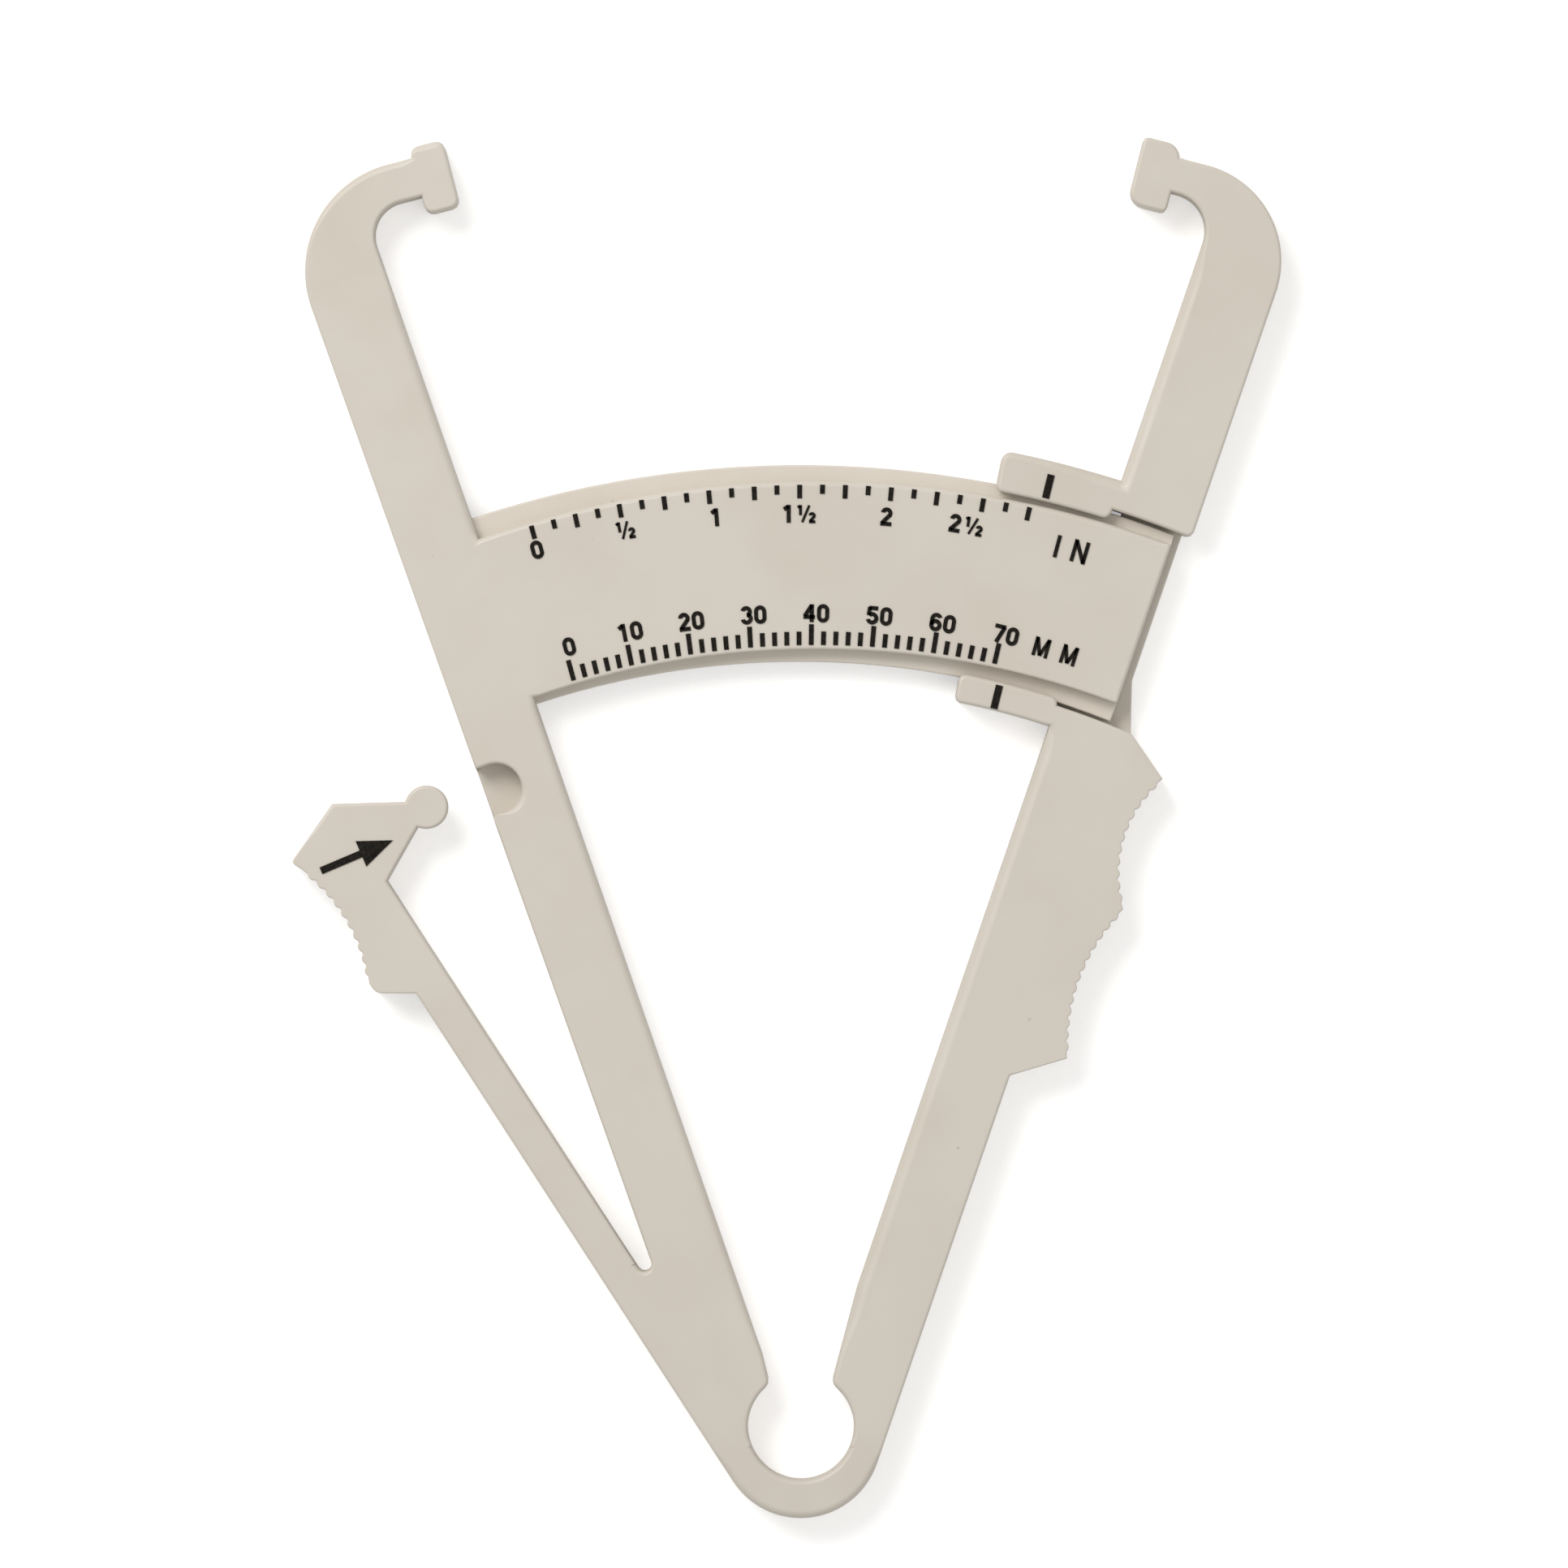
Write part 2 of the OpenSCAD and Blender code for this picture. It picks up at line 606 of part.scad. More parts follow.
module mm_pointer_tab()
    color(ivory) {
        plate_of(0, lip_z)
            tab_plan(mm_tab_in_r, guide_in_r, right_in, tip_r, 0, 0, 0);
        plate_of(lip_z, body_t)
            tab_plan(mm_tab_in_r, rail_in_r + mm_lip, right_in, tip_r, tip_r, 0, lip_end_r);
    }

module pointer_mark(r)
    plate_of(body_t, body_t + ink_t) rotate(-pointer_lean)
        translate([-pointer_w / 2, r]) square([pointer_w, pointer_len]);

module inch_pointer_mark() color(ink) pointer_mark(rail_out_r - inch_lip + pointer_margin);
module mm_pointer_mark()
    color(ink) pointer_mark(rail_in_r + mm_lip - pointer_margin - pointer_len);

// ---- the force lever ----

module lever_run(y0, y1)
    plate_of(0, body_t) polygon([lever_at(-lever_out, y0), lever_at(beam_in, y0),
                                 lever_at(beam_in, y1), lever_at(-lever_out, y1)]);

module lever_flexure() color(ivory) lever_run(lever_seam, flex_end);
module lever_beam() color(ivory) lever_run(flex_end, rest_low);

// The neck ends in a flat seam inside the ball's round
seam_back = sqrt(pow(ball_r, 2) - pow(ball_neck / 2, 2));
neck_way = [cos(neck_rise_deg), sin(neck_rise_deg)];
neck_side = [-neck_way[1], neck_way[0]];
function neck_at(back, side) = ball_c - back * neck_way + side * neck_side;

// Corners of the thumb rest, worked from its low outer corner
heel = lever_at(-lever_out - rest_out, rest_low + heel_rise);
toe = lever_at(-lever_out - rest_out + toe_in, rest_low + heel_rise + rest_len);
crown = lever_at(beam_in - crown_in, rest_low + crown_y);
fork = lever_at(beam_in, rest_low + fork_y);

heel_corner = lever_at(-lever_out - rest_out, rest_low + heel_y);
toe_corner = lever_at(-lever_out - rest_out, rest_low + heel_rise + rest_len + toe_y);
rest_foot = lever_at(-lever_out, rest_low);

module thumb_rest()
    color(ivory) plate_of(0, body_t) {
        polygon(concat(
            [lever_at(beam_in, rest_low), fork,
             neck_at(seam_back, -ball_neck / 2), neck_at(seam_back, ball_neck / 2), crown],
            corner(crown, toe_corner, toe, toe_r),
            hollow(toe, heel, rest_hollow),
            corner(heel, heel_corner, rest_foot, heel_r),
            [rest_foot]));
        serrations(toe, heel, rest_hollow);
    }

module indicator_ball()
    color(ivory) plate_of(ball_z, body_t) difference() {
        translate(ball_c) circle(ball_r);
        translate(ball_c) rotate(neck_rise_deg) translate([-seam_back - reach, -reach])
            square([reach, 2 * reach]);
    }

module force_arrow()
    color(ink) plate_of(body_t, body_t + ink_t)
        translate(lever_at(ball_out - lever_out - arrow_back, ball_y - arrow_drop)) rotate(arrow_rise)
            polygon([[0, 0], [-arrow_head, arrow_w / 2], [-arrow_head, arrow_shaft / 2],
                     [-arrow_len, arrow_shaft / 2], [-arrow_len, -arrow_shaft / 2],
                     [-arrow_head, -arrow_shaft / 2], [-arrow_head, -arrow_w / 2]]);

left_hinge_root();
left_arm();
left_jaw_hook();
left_jaw_pad();
scale_rail();
scale_plate();
inch_graduations();
mm_graduations();
hinge_bow();
right_hinge_root();
handle();
finger_grip();
scale_bridge();
right_jaw_arm();
right_jaw_hook();
right_jaw_pad();
inch_pointer_tab();
mm_pointer_tab();
inch_pointer_mark();
mm_pointer_mark();
lever_flexure();
lever_beam();
thumb_rest();
indicator_ball();
force_arrow();
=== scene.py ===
# %% [markdown]
# # A one-hand skinfold caliper
#
# The caliper is a flat moulding of ivory plastic. Two long arms are joined at the bottom by a springy bow.
# A curved scale grows out of the left arm and slides through a guide on the right arm, where two small tabs
# point at the inches and the millimetres. A thin lever on the left carries a thumb rest and a round tip.
# The construction is loaded as a fixed frame, in metres, and this file gives it its looks: softened edges,
# plastic with a moulded surface, printed ink, a floor and a soft light.

import math

import bmesh
import bpy
from mathutils import Matrix, Vector
from mathutils.bvhtree import BVHTree


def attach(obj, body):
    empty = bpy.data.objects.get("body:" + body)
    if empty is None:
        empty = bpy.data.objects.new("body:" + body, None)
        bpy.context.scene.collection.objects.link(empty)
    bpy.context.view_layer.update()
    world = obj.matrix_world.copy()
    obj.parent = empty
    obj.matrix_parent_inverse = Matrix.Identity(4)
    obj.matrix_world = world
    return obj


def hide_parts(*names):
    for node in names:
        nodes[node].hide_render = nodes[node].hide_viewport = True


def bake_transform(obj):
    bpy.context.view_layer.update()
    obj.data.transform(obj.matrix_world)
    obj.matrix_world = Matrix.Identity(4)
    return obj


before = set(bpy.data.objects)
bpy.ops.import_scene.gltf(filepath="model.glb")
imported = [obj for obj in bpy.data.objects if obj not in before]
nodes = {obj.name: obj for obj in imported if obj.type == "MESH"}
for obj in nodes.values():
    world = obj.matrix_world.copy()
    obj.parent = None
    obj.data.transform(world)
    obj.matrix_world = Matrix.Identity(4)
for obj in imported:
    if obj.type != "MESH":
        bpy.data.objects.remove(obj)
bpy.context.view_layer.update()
MM = 0.001

# %% [markdown]
# ## Camera
#
# The photograph looks straight down on the caliper, and hardly any wall shows even at the jaws, so it was
# taken with a long lens from well above. The image is square and shows 162.35 mm of the front face. The
# camera stands 1.3 m up: a perspective camera keeps the hair-thin line of wall that faces the middle of
# the picture, which a flat (orthographic) camera would lose.

# %% Camera over the caliper
FRONT = 5 * MM
PICTURE = 162.35 * MM
PICTURE_MIDDLE = (-1.6 * MM, 74.12 * MM)
HEIGHT = 1300 * MM
SENSOR = 36
camera_data = bpy.data.cameras.new("overhead_camera")
camera_data.sensor_width = SENSOR
camera_data.lens = SENSOR * HEIGHT / PICTURE
camera_data.clip_start = 0.01
camera_data.clip_end = 5
camera = bpy.data.objects.new("overhead_camera", camera_data)
camera.location = (*PICTURE_MIDDLE, FRONT + HEIGHT)
bpy.context.scene.collection.objects.link(camera)
bpy.context.scene.camera = camera
bpy.context.scene.view_settings.view_transform = "Standard"
print("lens, mm:", round(camera_data.lens, 1))

# %% [markdown]
# ## Floor and light
#
# The background is plain white. A real white sheet would need a lot of light to reach white, and that light
# would wash out the ivory plastic, so the floor mixes two things: the camera sees it as white, lightened
# only where nothing shades it, and the light that it sends to the plastic stays that of pale paper. The
# lamps are large and soft, and the strongest stands up and to the left, on the side of the photograph's
# highlights.


# %% Helpers for shader nodes
def add_node(tree, kind, values=None):
    """A new node, with its sockets set from {socket: value}."""
    made = tree.nodes.new(kind)
    for socket, value in (values or {}).items():
        made.inputs[socket].default_value = value
    return made


def link(tree, source, output, target, socket):
    tree.links.new(source.outputs[output], target.inputs[socket])


def split_by_ray(tree, for_light, for_camera, out):
    """Shows one shader to the camera, and gives the other to the light that travels on."""
    ray = add_node(tree, "ShaderNodeLightPath")
    choose = add_node(tree, "ShaderNodeMixShader")
    link(tree, ray, "Is Camera Ray", choose, 0)
    link(tree, for_light, 0, choose, 1)
    link(tree, for_camera, 0, choose, 2)
    link(tree, choose, 0, out, 0)


# %% Room
ROOM_STRENGTH = 0.46
world = bpy.data.worlds.new("soft_room")
bpy.context.scene.world = world
world.use_nodes = True
air = world.node_tree
air.nodes.clear()
warm = add_node(air, "ShaderNodeBackground", {"Color": (1.0, 0.985, 0.965, 1), "Strength": ROOM_STRENGTH})
white = add_node(air, "ShaderNodeBackground", {"Color": (1, 1, 1, 1), "Strength": 1.0})
split_by_ray(air, warm, white, add_node(air, "ShaderNodeOutputWorld"))
print("room lit at", ROOM_STRENGTH)

# %% Floor
MIDDLE = (0, 70 * MM, 0)
UNDER = 0.02 * MM
FLOOR_HALF = 0.6
floor_mesh = bpy.data.meshes.new("floor")
flat = bmesh.new()
bmesh.ops.create_grid(flat, x_segments=1, y_segments=1, size=FLOOR_HALF)
bmesh.ops.translate(flat, verts=flat.verts, vec=(MIDDLE[0], MIDDLE[1], -UNDER))
flat.to_mesh(floor_mesh)
flat.free()
floor = bpy.data.objects.new("floor", floor_mesh)
bpy.context.scene.collection.objects.link(floor)
print("floor, m:", [round(v, 2) for v in floor.dimensions])

# %% White paper for the floor
paper = bpy.data.materials.new("white_floor")
paper.use_nodes = True
fibre = paper.node_tree
fibre.nodes.clear()
sheet = add_node(fibre, "ShaderNodeBsdfDiffuse", {"Color": (0.86, 0.86, 0.86, 1)})
glow = add_node(fibre, "ShaderNodeEmission", {"Color": (1, 1, 1, 1), "Strength": 0.42})
both = add_node(fibre, "ShaderNodeAddShader")
link(fibre, sheet, 0, both, 0)
link(fibre, glow, 0, both, 1)
split_by_ray(fibre, sheet, both, add_node(fibre, "ShaderNodeOutputMaterial"))
floor_mesh.materials.append(paper)
print("floor material:", paper.name)


# %% Lamps
def softbox(name, place, width, watts):
    """A square lamp that looks at the middle of the caliper."""
    lamp = bpy.data.lights.new(name, "AREA")
    lamp.shape = "SQUARE"
    lamp.size = width
    lamp.energy = watts
    lamp.color = (1.0, 0.98, 0.95)
    holder = bpy.data.objects.new(name, lamp)
    holder.location = place
    holder.rotation_euler = (Vector(MIDDLE) - Vector(place)).to_track_quat("-Z", "Y").to_euler()
    bpy.context.scene.collection.objects.link(holder)


softbox("key_light", place=(-0.45, 0.62, 0.75), width=0.55, watts=6.6)
softbox("fill_light", place=(0.6, -0.2, 0.8), width=0.8, watts=1.5)

# %% [markdown]
# ## Ivory plastic
#
# The moulding is a warm ivory. Up close such plastic is never one flat colour: it has a slow drift of tone
# from the way it filled the mould, a very fine sparked texture, small specks and a thin parting line round
# its edges, half way up, where the two halves of the mould met. All of it is made from Object coordinates,
# which are the frame's own metres here, so nothing slides when a piece turns. Light that scatters inside
# the plastic is left out: it would draw a pale line at every seam between two sections, and the real
# moulding has no seams there.


# %% Helpers for materials
def new_material(name):
    """(material, its node tree, its shader, its coordinates)."""
    mat = bpy.data.materials.new(name)
    mat.use_nodes = True
    tree = mat.node_tree
    return mat, tree, tree.nodes["Principled BSDF"], add_node(tree, "ShaderNodeTexCoord")


def noise(tree, where, scale, detail, roughness=0.5):
    made = add_node(tree, "ShaderNodeTexNoise", {"Scale": scale, "Detail": detail, "Roughness": roughness})
    link(tree, where, "Object", made, "Vector")
    return made


def ramp(tree, source, *stops):
    """Two colours, each (position, colour), mixed by a noise."""
    made = add_node(tree, "ShaderNodeValToRGB")
    for i, (position, colour) in enumerate(stops):
        made.color_ramp.elements[i].position = position
        made.color_ramp.elements[i].color = (*colour, 1)
    link(tree, source, "Fac", made, "Fac")
    return made


def map_range(tree, source, output, span, to):
    """Stretches the part of a value that lies in span over the range to."""
    ends = {"From Min": span[0], "From Max": span[1], "To Min": to[0], "To Max": to[1]}
    made = add_node(tree, "ShaderNodeMapRange", ends)
    link(tree, source, output, made, "Value")
    return made


def bump(tree, source, output, strength, depth, under=None):
    """Relief of this depth in metres, on top of the relief under it."""
    made = add_node(tree, "ShaderNodeBump", {"Strength": strength, "Distance": depth})
    link(tree, source, output, made, "Height")
    if under:
        link(tree, under, "Normal", made, "Normal")
    return made


# %% Colour and specks of the plastic
IVORY = (0.665, 0.621, 0.556)
IVORY_DEEP = (0.632, 0.583, 0.514)
SPECK = (0.36, 0.31, 0.25)
SPECKS_PER_METRE = 160


def ivory_colour(tree, where, tone):
    """A slow drift between two ivories, with a few small darker specks."""
    drift = noise(tree, where, scale=70, detail=3, roughness=0.55)
    deep, light = ([c * tone for c in colour] for colour in (IVORY_DEEP, IVORY))
    tones = ramp(tree, drift, (0.30, deep), (0.62, light))
    cells = add_node(tree, "ShaderNodeTexVoronoi", {"Scale": SPECKS_PER_METRE, "Randomness": 1})
    link(tree, where, "Object", cells, "Vector")
    dot = map_range(tree, cells, "Distance", span=(0.010, 0.035), to=(0.45, 0.0))
    speckled = add_node(tree, "ShaderNodeMix")
    speckled.data_type = "RGBA"
    link(tree, dot, "Result", speckled, "Factor")
    link(tree, tones, "Color", speckled, "A")
    speckled.inputs["B"].default_value = (*SPECK, 1)
    return speckled


# %% Parting line
def parting_line(tree, where, parting):
    """1 at the height where the halves of the mould met, and 0 a tenth of a millimetre away."""
    height = add_node(tree, "ShaderNodeSeparateXYZ")
    link(tree, where, "Object", height, 0)
    off = add_node(tree, "ShaderNodeMath")
    off.operation = "SUBTRACT"
    off.inputs[1].default_value = parting
    link(tree, height, "Z", off, 0)
    far = add_node(tree, "ShaderNodeMath")
    far.operation = "ABSOLUTE"
    link(tree, off, 0, far, 0)
    line = map_range(tree, far, 0, span=(0.02 * MM, 0.09 * MM), to=(1, 0))
    line.interpolation_type = "SMOOTHSTEP"
    return line


# %% Plastic material
def plastic(name, tone=1.0, parting=2.5 * MM):
    mat, tree, shader, where = new_material(name)
    shader.inputs["IOR"].default_value = 1.49
    link(tree, ivory_colour(tree, where, tone), "Result", shader, "Base Color")
    sparked = noise(tree, where, scale=5200, detail=2)
    flow = noise(tree, where, scale=260, detail=2)
    ridge = parting_line(tree, where, parting)
    fine = bump(tree, sparked, "Fac", strength=0.16, depth=0.02 * MM)
    wavy = bump(tree, flow, "Fac", strength=0.10, depth=0.12 * MM, under=fine)
    line = bump(tree, ridge, "Result", strength=0.6, depth=0.06 * MM, under=wavy)
    link(tree, line, "Normal", shader, "Normal")
    gloss = map_range(tree, flow, "Fac", span=(0.3, 0.7), to=(0.36, 0.50))
    link(tree, gloss, "Result", shader, "Roughness")
    return mat


ivory = plastic("ivory_plastic")
# The rail gets the same ivory painted 7 % lighter. This is painted light for the brighter look of the thin
# rail, and its own plastic is no lighter.
rail_ivory_painted_lighter = plastic("ivory_plastic_rail_painted_lighter", tone=1.07, parting=2.4 * MM)
print("plastic materials:", ivory.name, rail_ivory_painted_lighter.name)

# %% [markdown]
# ## Printed ink
#
# The scale, the pointer marks and the arrow are pad-printed in black. The ink lies on the plastic as a
# film: nearly black, a little brown, duller than the plastic, and thinner in tiny patches where the pad
# lifted, so a fine noise lets the ink grow a touch paler.

# %% Ink material
INKED = ("inch_graduations", "mm_graduations", "inch_pointer_mark", "mm_pointer_mark", "force_arrow")


def printing_ink(name):
    mat, tree, shader, where = new_material(name)
    shader.inputs["Roughness"].default_value = 0.6
    shader.inputs["Specular IOR Level"].default_value = 0.12
    grain = noise(tree, where, scale=3200, detail=3)
    cover = ramp(tree, grain, (0.35, (0.0045, 0.0038, 0.0030)), (0.75, (0.022, 0.018, 0.014)))
    link(tree, cover, "Color", shader, "Base Color")
    film = bump(tree, grain, "Fac", strength=0.12, depth=0.01 * MM)
    link(tree, film, "Normal", shader, "Normal")
    return mat


ink = printing_ink("printed_ink")
for name in INKED:
    nodes[name].data.materials.clear()
    nodes[name].data.materials.append(ink)
print("ink on", *INKED)

# %% [markdown]
# ## Working on the moulding
#
# The construction's solids have sharp edges, and a moulding never has: every rim is rounded, and light
# catches on it. So each stretch of the moulding is made in three moves. The construction's own sections are
# copied, cleaned and joined, so that a rim runs on past the seams between sections. Its rims are rounded in
# rings that are extruded from each level face and stepped in and down along a quarter circle. A bevel
# would do for one even width, but here the inner rim of the right arm is much softer than the others and
# the serrations are much crisper, and rings let the width change smoothly from point to point. Then the
# stretch is cut apart again at the same seams, so that each section stays a piece of its own and its
# rounding still meets its neighbour's.

# %% Copies of the sections
WELD = 2e-6
FLAT = math.radians(0.1)
LEVEL = 0.9


def is_level(face):
    return abs(face.normal.z) > LEVEL


def clean(made):
    """Merges loose triangles and makes each flat face one face again."""
    bmesh.ops.remove_doubles(made, verts=made.verts, dist=WELD)
    bmesh.ops.dissolve_degenerate(made, dist=WELD, edges=made.edges)
    bmesh.ops.dissolve_limit(made, angle_limit=FLAT, verts=made.verts, edges=made.edges)


def merged_copy(node):
    made = bmesh.new()
    made.from_mesh(nodes[node].data)
    clean(made)
    return made


sample = merged_copy("left_arm")
print("left_arm:", len(nodes["left_arm"].data.polygons), "triangles become", len(sample.faces), "faces")
sample.free()


# %% Between bmesh and object
def as_object(made, name):
    mesh = bpy.data.meshes.new(name)
    made.to_mesh(mesh)
    made.free()
    piece = bpy.data.objects.new(name, mesh)
    bpy.context.scene.collection.objects.link(piece)
    return piece


def finished_mesh(piece):
    """The piece's mesh with its modifiers worked in."""
    graph = bpy.context.evaluated_depsgraph_get()
    mesh = bpy.data.meshes.new_from_object(piece.evaluated_get(graph), depsgraph=graph)
    piece.modifiers.clear()
    return mesh


def open_edges(made):
    return sum(len(e.link_faces) != 2 for e in made.edges)


# %% [markdown]
# ## Joining sections
#
# The sections are one plastic body on the real caliper, and here they stand wall against wall. A boolean
# union makes them one, but two walls in exactly the same plane are its hardest case and can leave slits. So
# where a small wall stands on a larger one, the small one is first pressed a twentieth of a millimetre in.

# %% Walls that touch
TOUCH = 5e-6
HAIR = 1e-6
OPPOSITE = -0.99999


def spans(face):
    return [(min(v.co[i] for v in face.verts), max(v.co[i] for v in face.verts)) for i in range(3)]


def overlap(a, b):
    return all(max(s[0], t[0]) <= min(s[1], t[1]) + HAIR for s, t in zip(spans(a), spans(b)))


def touching(mine, theirs):
    """Pairs of upright walls that stand against each other."""
    mine.normal_update()
    theirs.normal_update()
    for f in mine.faces:
        for g in theirs.faces:
            off = (g.verts[0].co - f.verts[0].co).dot(f.normal)
            against = f.normal.dot(g.normal) < OPPOSITE and abs(off) < TOUCH
            if against and not is_level(f) and overlap(f, g):
                yield f, g


mine, theirs = merged_copy("left_arm"), merged_copy("left_jaw_hook")
print("left_arm and left_jaw_hook share", len(list(touching(mine, theirs))), "wall")
mine.free()
theirs.free()


# %% Joining
PRESSED = 0.05 * MM
SMALLER = 0.95


def pressed_in(node, others):
    """A copy of a section, whose end walls reach a little way into any larger wall they stand against."""
    made = merged_copy(node)
    moves = {}
    for other in others:
        theirs = merged_copy(other)
        for f, g in touching(made, theirs):
            if f.calc_area() < SMALLER * g.calc_area():
                moves.update({v: f.normal * PRESSED for v in f.verts})
        theirs.free()
    for v, move in moves.items():
        v.co += move
    return made


def joined(names):
    """One closed bmesh from sections of the moulding that meet face to face."""
    body = as_object(merged_copy(names[0]), "joining")
    for i, other in enumerate(names[1:]):
        tool = as_object(pressed_in(other, names[:i + 1]), "joining_" + other)
        union = body.modifiers.new("union", "BOOLEAN")
        union.operation = "UNION"
        union.solver = "EXACT"
        union.object = tool
        body.data = finished_mesh(body)
        bpy.data.objects.remove(tool)
    made = bmesh.new()
    made.from_mesh(body.data)
    bpy.data.objects.remove(body)
    clean(made)
    print("joined", names, "->", len(made.faces), "faces,", open_edges(made), "open edges")
    return made


# %% [markdown]
# ## Rims and their widths
#
# A rim is an edge where a level face meets an upright wall at an outside corner. In the photograph a rim's
# rounding widens and narrows as it goes, so each rim is split into short edges and each edge asks for a
# width of its own. Then the widths are made to agree: no corner is wider than its edges leave room for, and
# along a rim the width grows and shrinks by a gentle slope only.

# %% Finding the rims
UPRIGHT = 0.9
CORNER = 1.0


def level_and_wall(edge):
    """(level face, wall) where the two meet at an outside corner, or None."""
    if len(edge.link_faces) != 2 or not edge.is_convex:
        return None
    a, b = edge.link_faces
    if is_level(a) == is_level(b):
        return None
    return (a, b) if is_level(a) else (b, a)


def is_upright_corner(edge):
    upright = abs(edge.verts[0].co.z - edge.verts[1].co.z) > UPRIGHT * edge.calc_length()
    return upright and edge.is_convex and edge.calc_face_angle(0) > CORNER


def middle_of(edge):
    return (edge.verts[0].co + edge.verts[1].co) / 2


def surfaces(names):
    """Search trees of the sections, to find out whether a rim lies on one."""
    trees = []
    for name in names:
        made = merged_copy(name)
        trees.append(BVHTree.FromBMesh(made))
        made.free()
    return trees


def split_long(made, longest):
    """Splits the long edges of the level faces, so that a rim's width can change along them."""
    for edge in [e for e in made.edges if any(is_level(f) for f in e.link_faces)]:
        pieces = math.ceil(edge.calc_length() / longest)
        for left in range(pieces, 1, -1):
            edge, vert = bmesh.utils.edge_split(edge, edge.verts[0], 1 - 1 / left)


sample = merged_copy("left_arm")
print("left_arm:", sum(level_and_wall(e) is not None for e in sample.edges), "edges are rims")
sample.free()

# %% Widths that the edges ask for
STRAIGHT = 0.01
WALL_SHARE = 0.45


def widths_along(face, width, trees):
    """For each edge of a level face: the width of its rounding, and whether a wall rises from it."""
    wanted, rising = [], []
    for loop in face.loops:
        pair = level_and_wall(loop.edge)
        middle = middle_of(loop.edge)
        w = 0
        if pair and pair[0] == face and abs(pair[1].normal.z) < STRAIGHT:
            if all(tree.find_nearest(middle, TOUCH)[0] is None for tree in trees):
                tall = max(abs(v.co.z - middle.z) for v in pair[1].verts)
                w = min(width(middle / MM, pair[1].normal, face, pair[1]) * MM, WALL_SHARE * tall)
        wanted.append(w)
        rising.append(pair is None)
    return wanted, rising


# %% Widths at the corners
SLOPE = 0.35
GENTLE = math.radians(25)
ROOM_SHARE = 0.8
NEARLY_STRAIGHT = 1e-4
PLENTY = 1.0
ROUNDS = 3


def widths_at(wanted, rising, lengths, turns):
    """For each corner of a level face: a width that suits both its edges and their neighbours."""
    count = len(wanted)
    room = []
    for i in range(count):
        shrink = math.tan(turns[i] / 2) + math.tan(turns[(i + 1) % count] / 2)
        room.append(ROOM_SHARE * lengths[i] / shrink if shrink > NEARLY_STRAIGHT else PLENTY)
    at = []
    for i in range(count):
        a, b = wanted[i - 1], wanted[i]
        if (rising[i - 1] or rising[i]) or (min(a, b) == 0 and abs(turns[i]) < GENTLE):
            at.append(0.0)
        else:
            w = (a + b) / 2 if min(a, b) > 0 else max(a, b)
            at.append(min([w] + [room[j] for j in (i - 1, i) if wanted[j] > 0]))
    for i in list(range(count)) * ROUNDS:
        if wanted[i] > 0:
            j = (i + 1) % count
            at[j] = min(at[j], at[i] + SLOPE * lengths[i])
    for i in list(reversed(range(count))) * ROUNDS:
        if wanted[i] > 0:
            at[i] = min(at[i], at[(i + 1) % count] + SLOPE * lengths[i])
    return at


square = widths_at([1.2 * MM] + [0.4 * MM] * 3, [False] * 4, [4 * MM] * 4, [math.pi / 2] * 4)
print("corners of a 4 mm square with one wide rim, mm:", [round(w / MM, 2) for w in square])


# %% Steps to the inner rim
LONGEST_STEP = 1.8


def step_in(before, after, a, b):
    """From a corner to where its two inner rims cross, which lie a and b inside its edges."""
    c = before.dot(after)
    if a == b:
        return (before + after) * a / (1 + c)
    return (a * (before - c * after) + b * (after - c * before)) / (1 - c * c)


sample = step_in(Vector((0, 1, 0)), Vector((-1, 0, 0)), 0.4, 1.2)
print("step at a square corner with rims of 0.4 and 1.2:", [round(v, 2) for v in sample])


def outline_of(face, width, trees):
    """For each corner of a level face: (vertex, step to the inner rim, drop of the outer one)."""
    loops = list(face.loops)
    edges = [loop.link_loop_next.vert.co - loop.vert.co for loop in loops]
    ahead = [edge.normalized() for edge in edges]
    turns = []
    for i, now in enumerate(ahead):
        turn = face.normal.dot(ahead[i - 1].cross(now))
        turns.append(math.atan2(turn, ahead[i - 1].dot(now)))
    wanted, rising = widths_along(face, width, trees)
    at = widths_at(wanted, rising, [edge.length for edge in edges], turns)
    corners = []
    for i, (loop, w) in enumerate(zip(loops, at)):
        before, after = face.normal.cross(ahead[i - 1]), face.normal.cross(ahead[i])
        step = step_in(before, after, w if wanted[i - 1] > 0 else 0, w if wanted[i] > 0 else 0)
        if step.length > LONGEST_STEP * w:
            step = step.normalized() * LONGEST_STEP * w
        corners.append((loop.vert, step, w))
    return corners


# %% [markdown]
# ## Rounding
#
# A quarter circle is made of four rings. Each one is extruded from the level face and moved: further in by
# the cosine, and up again by the sine, while the outer ring has first dropped down the wall by the whole
# width. Upright outside corners that the photograph shows soft are bevelled first, as their radius is even.

# %% Rounding the rims
SEGMENTS = 4
CORNER_SEGMENTS = 5
LONGEST_EDGE = 0.8 * MM


def extruded_rings(made, face, outline):
    """Turns a level face into a smaller one, with a quarter circle of rings round it."""
    up = Vector((0, 0, math.copysign(1, face.normal.z)))
    ring = [vert for vert, step, w in outline]
    start = [vert.co.copy() for vert in ring]
    for place, (vert, step, w) in zip(start, outline):
        vert.co = place - up * w
    for k in range(1, SEGMENTS + 1):
        phi = math.pi / 2 * k / SEGMENTS
        grown = bmesh.ops.extrude_face_region(made, geom=[face])["geom"]
        bmesh.ops.delete(made, geom=[face], context="FACES_ONLY")
        face = next(g for g in grown if isinstance(g, bmesh.types.BMFace))
        fresh = {g for g in grown if isinstance(g, bmesh.types.BMVert)}
        ring = [next(e.other_vert(v) for e in v.link_edges if e.other_vert(v) in fresh) for v in ring]
        for new, place, (vert, step, w) in zip(ring, start, outline):
            new.co = place + step * (1 - math.cos(phi)) - up * w * (1 - math.sin(phi))


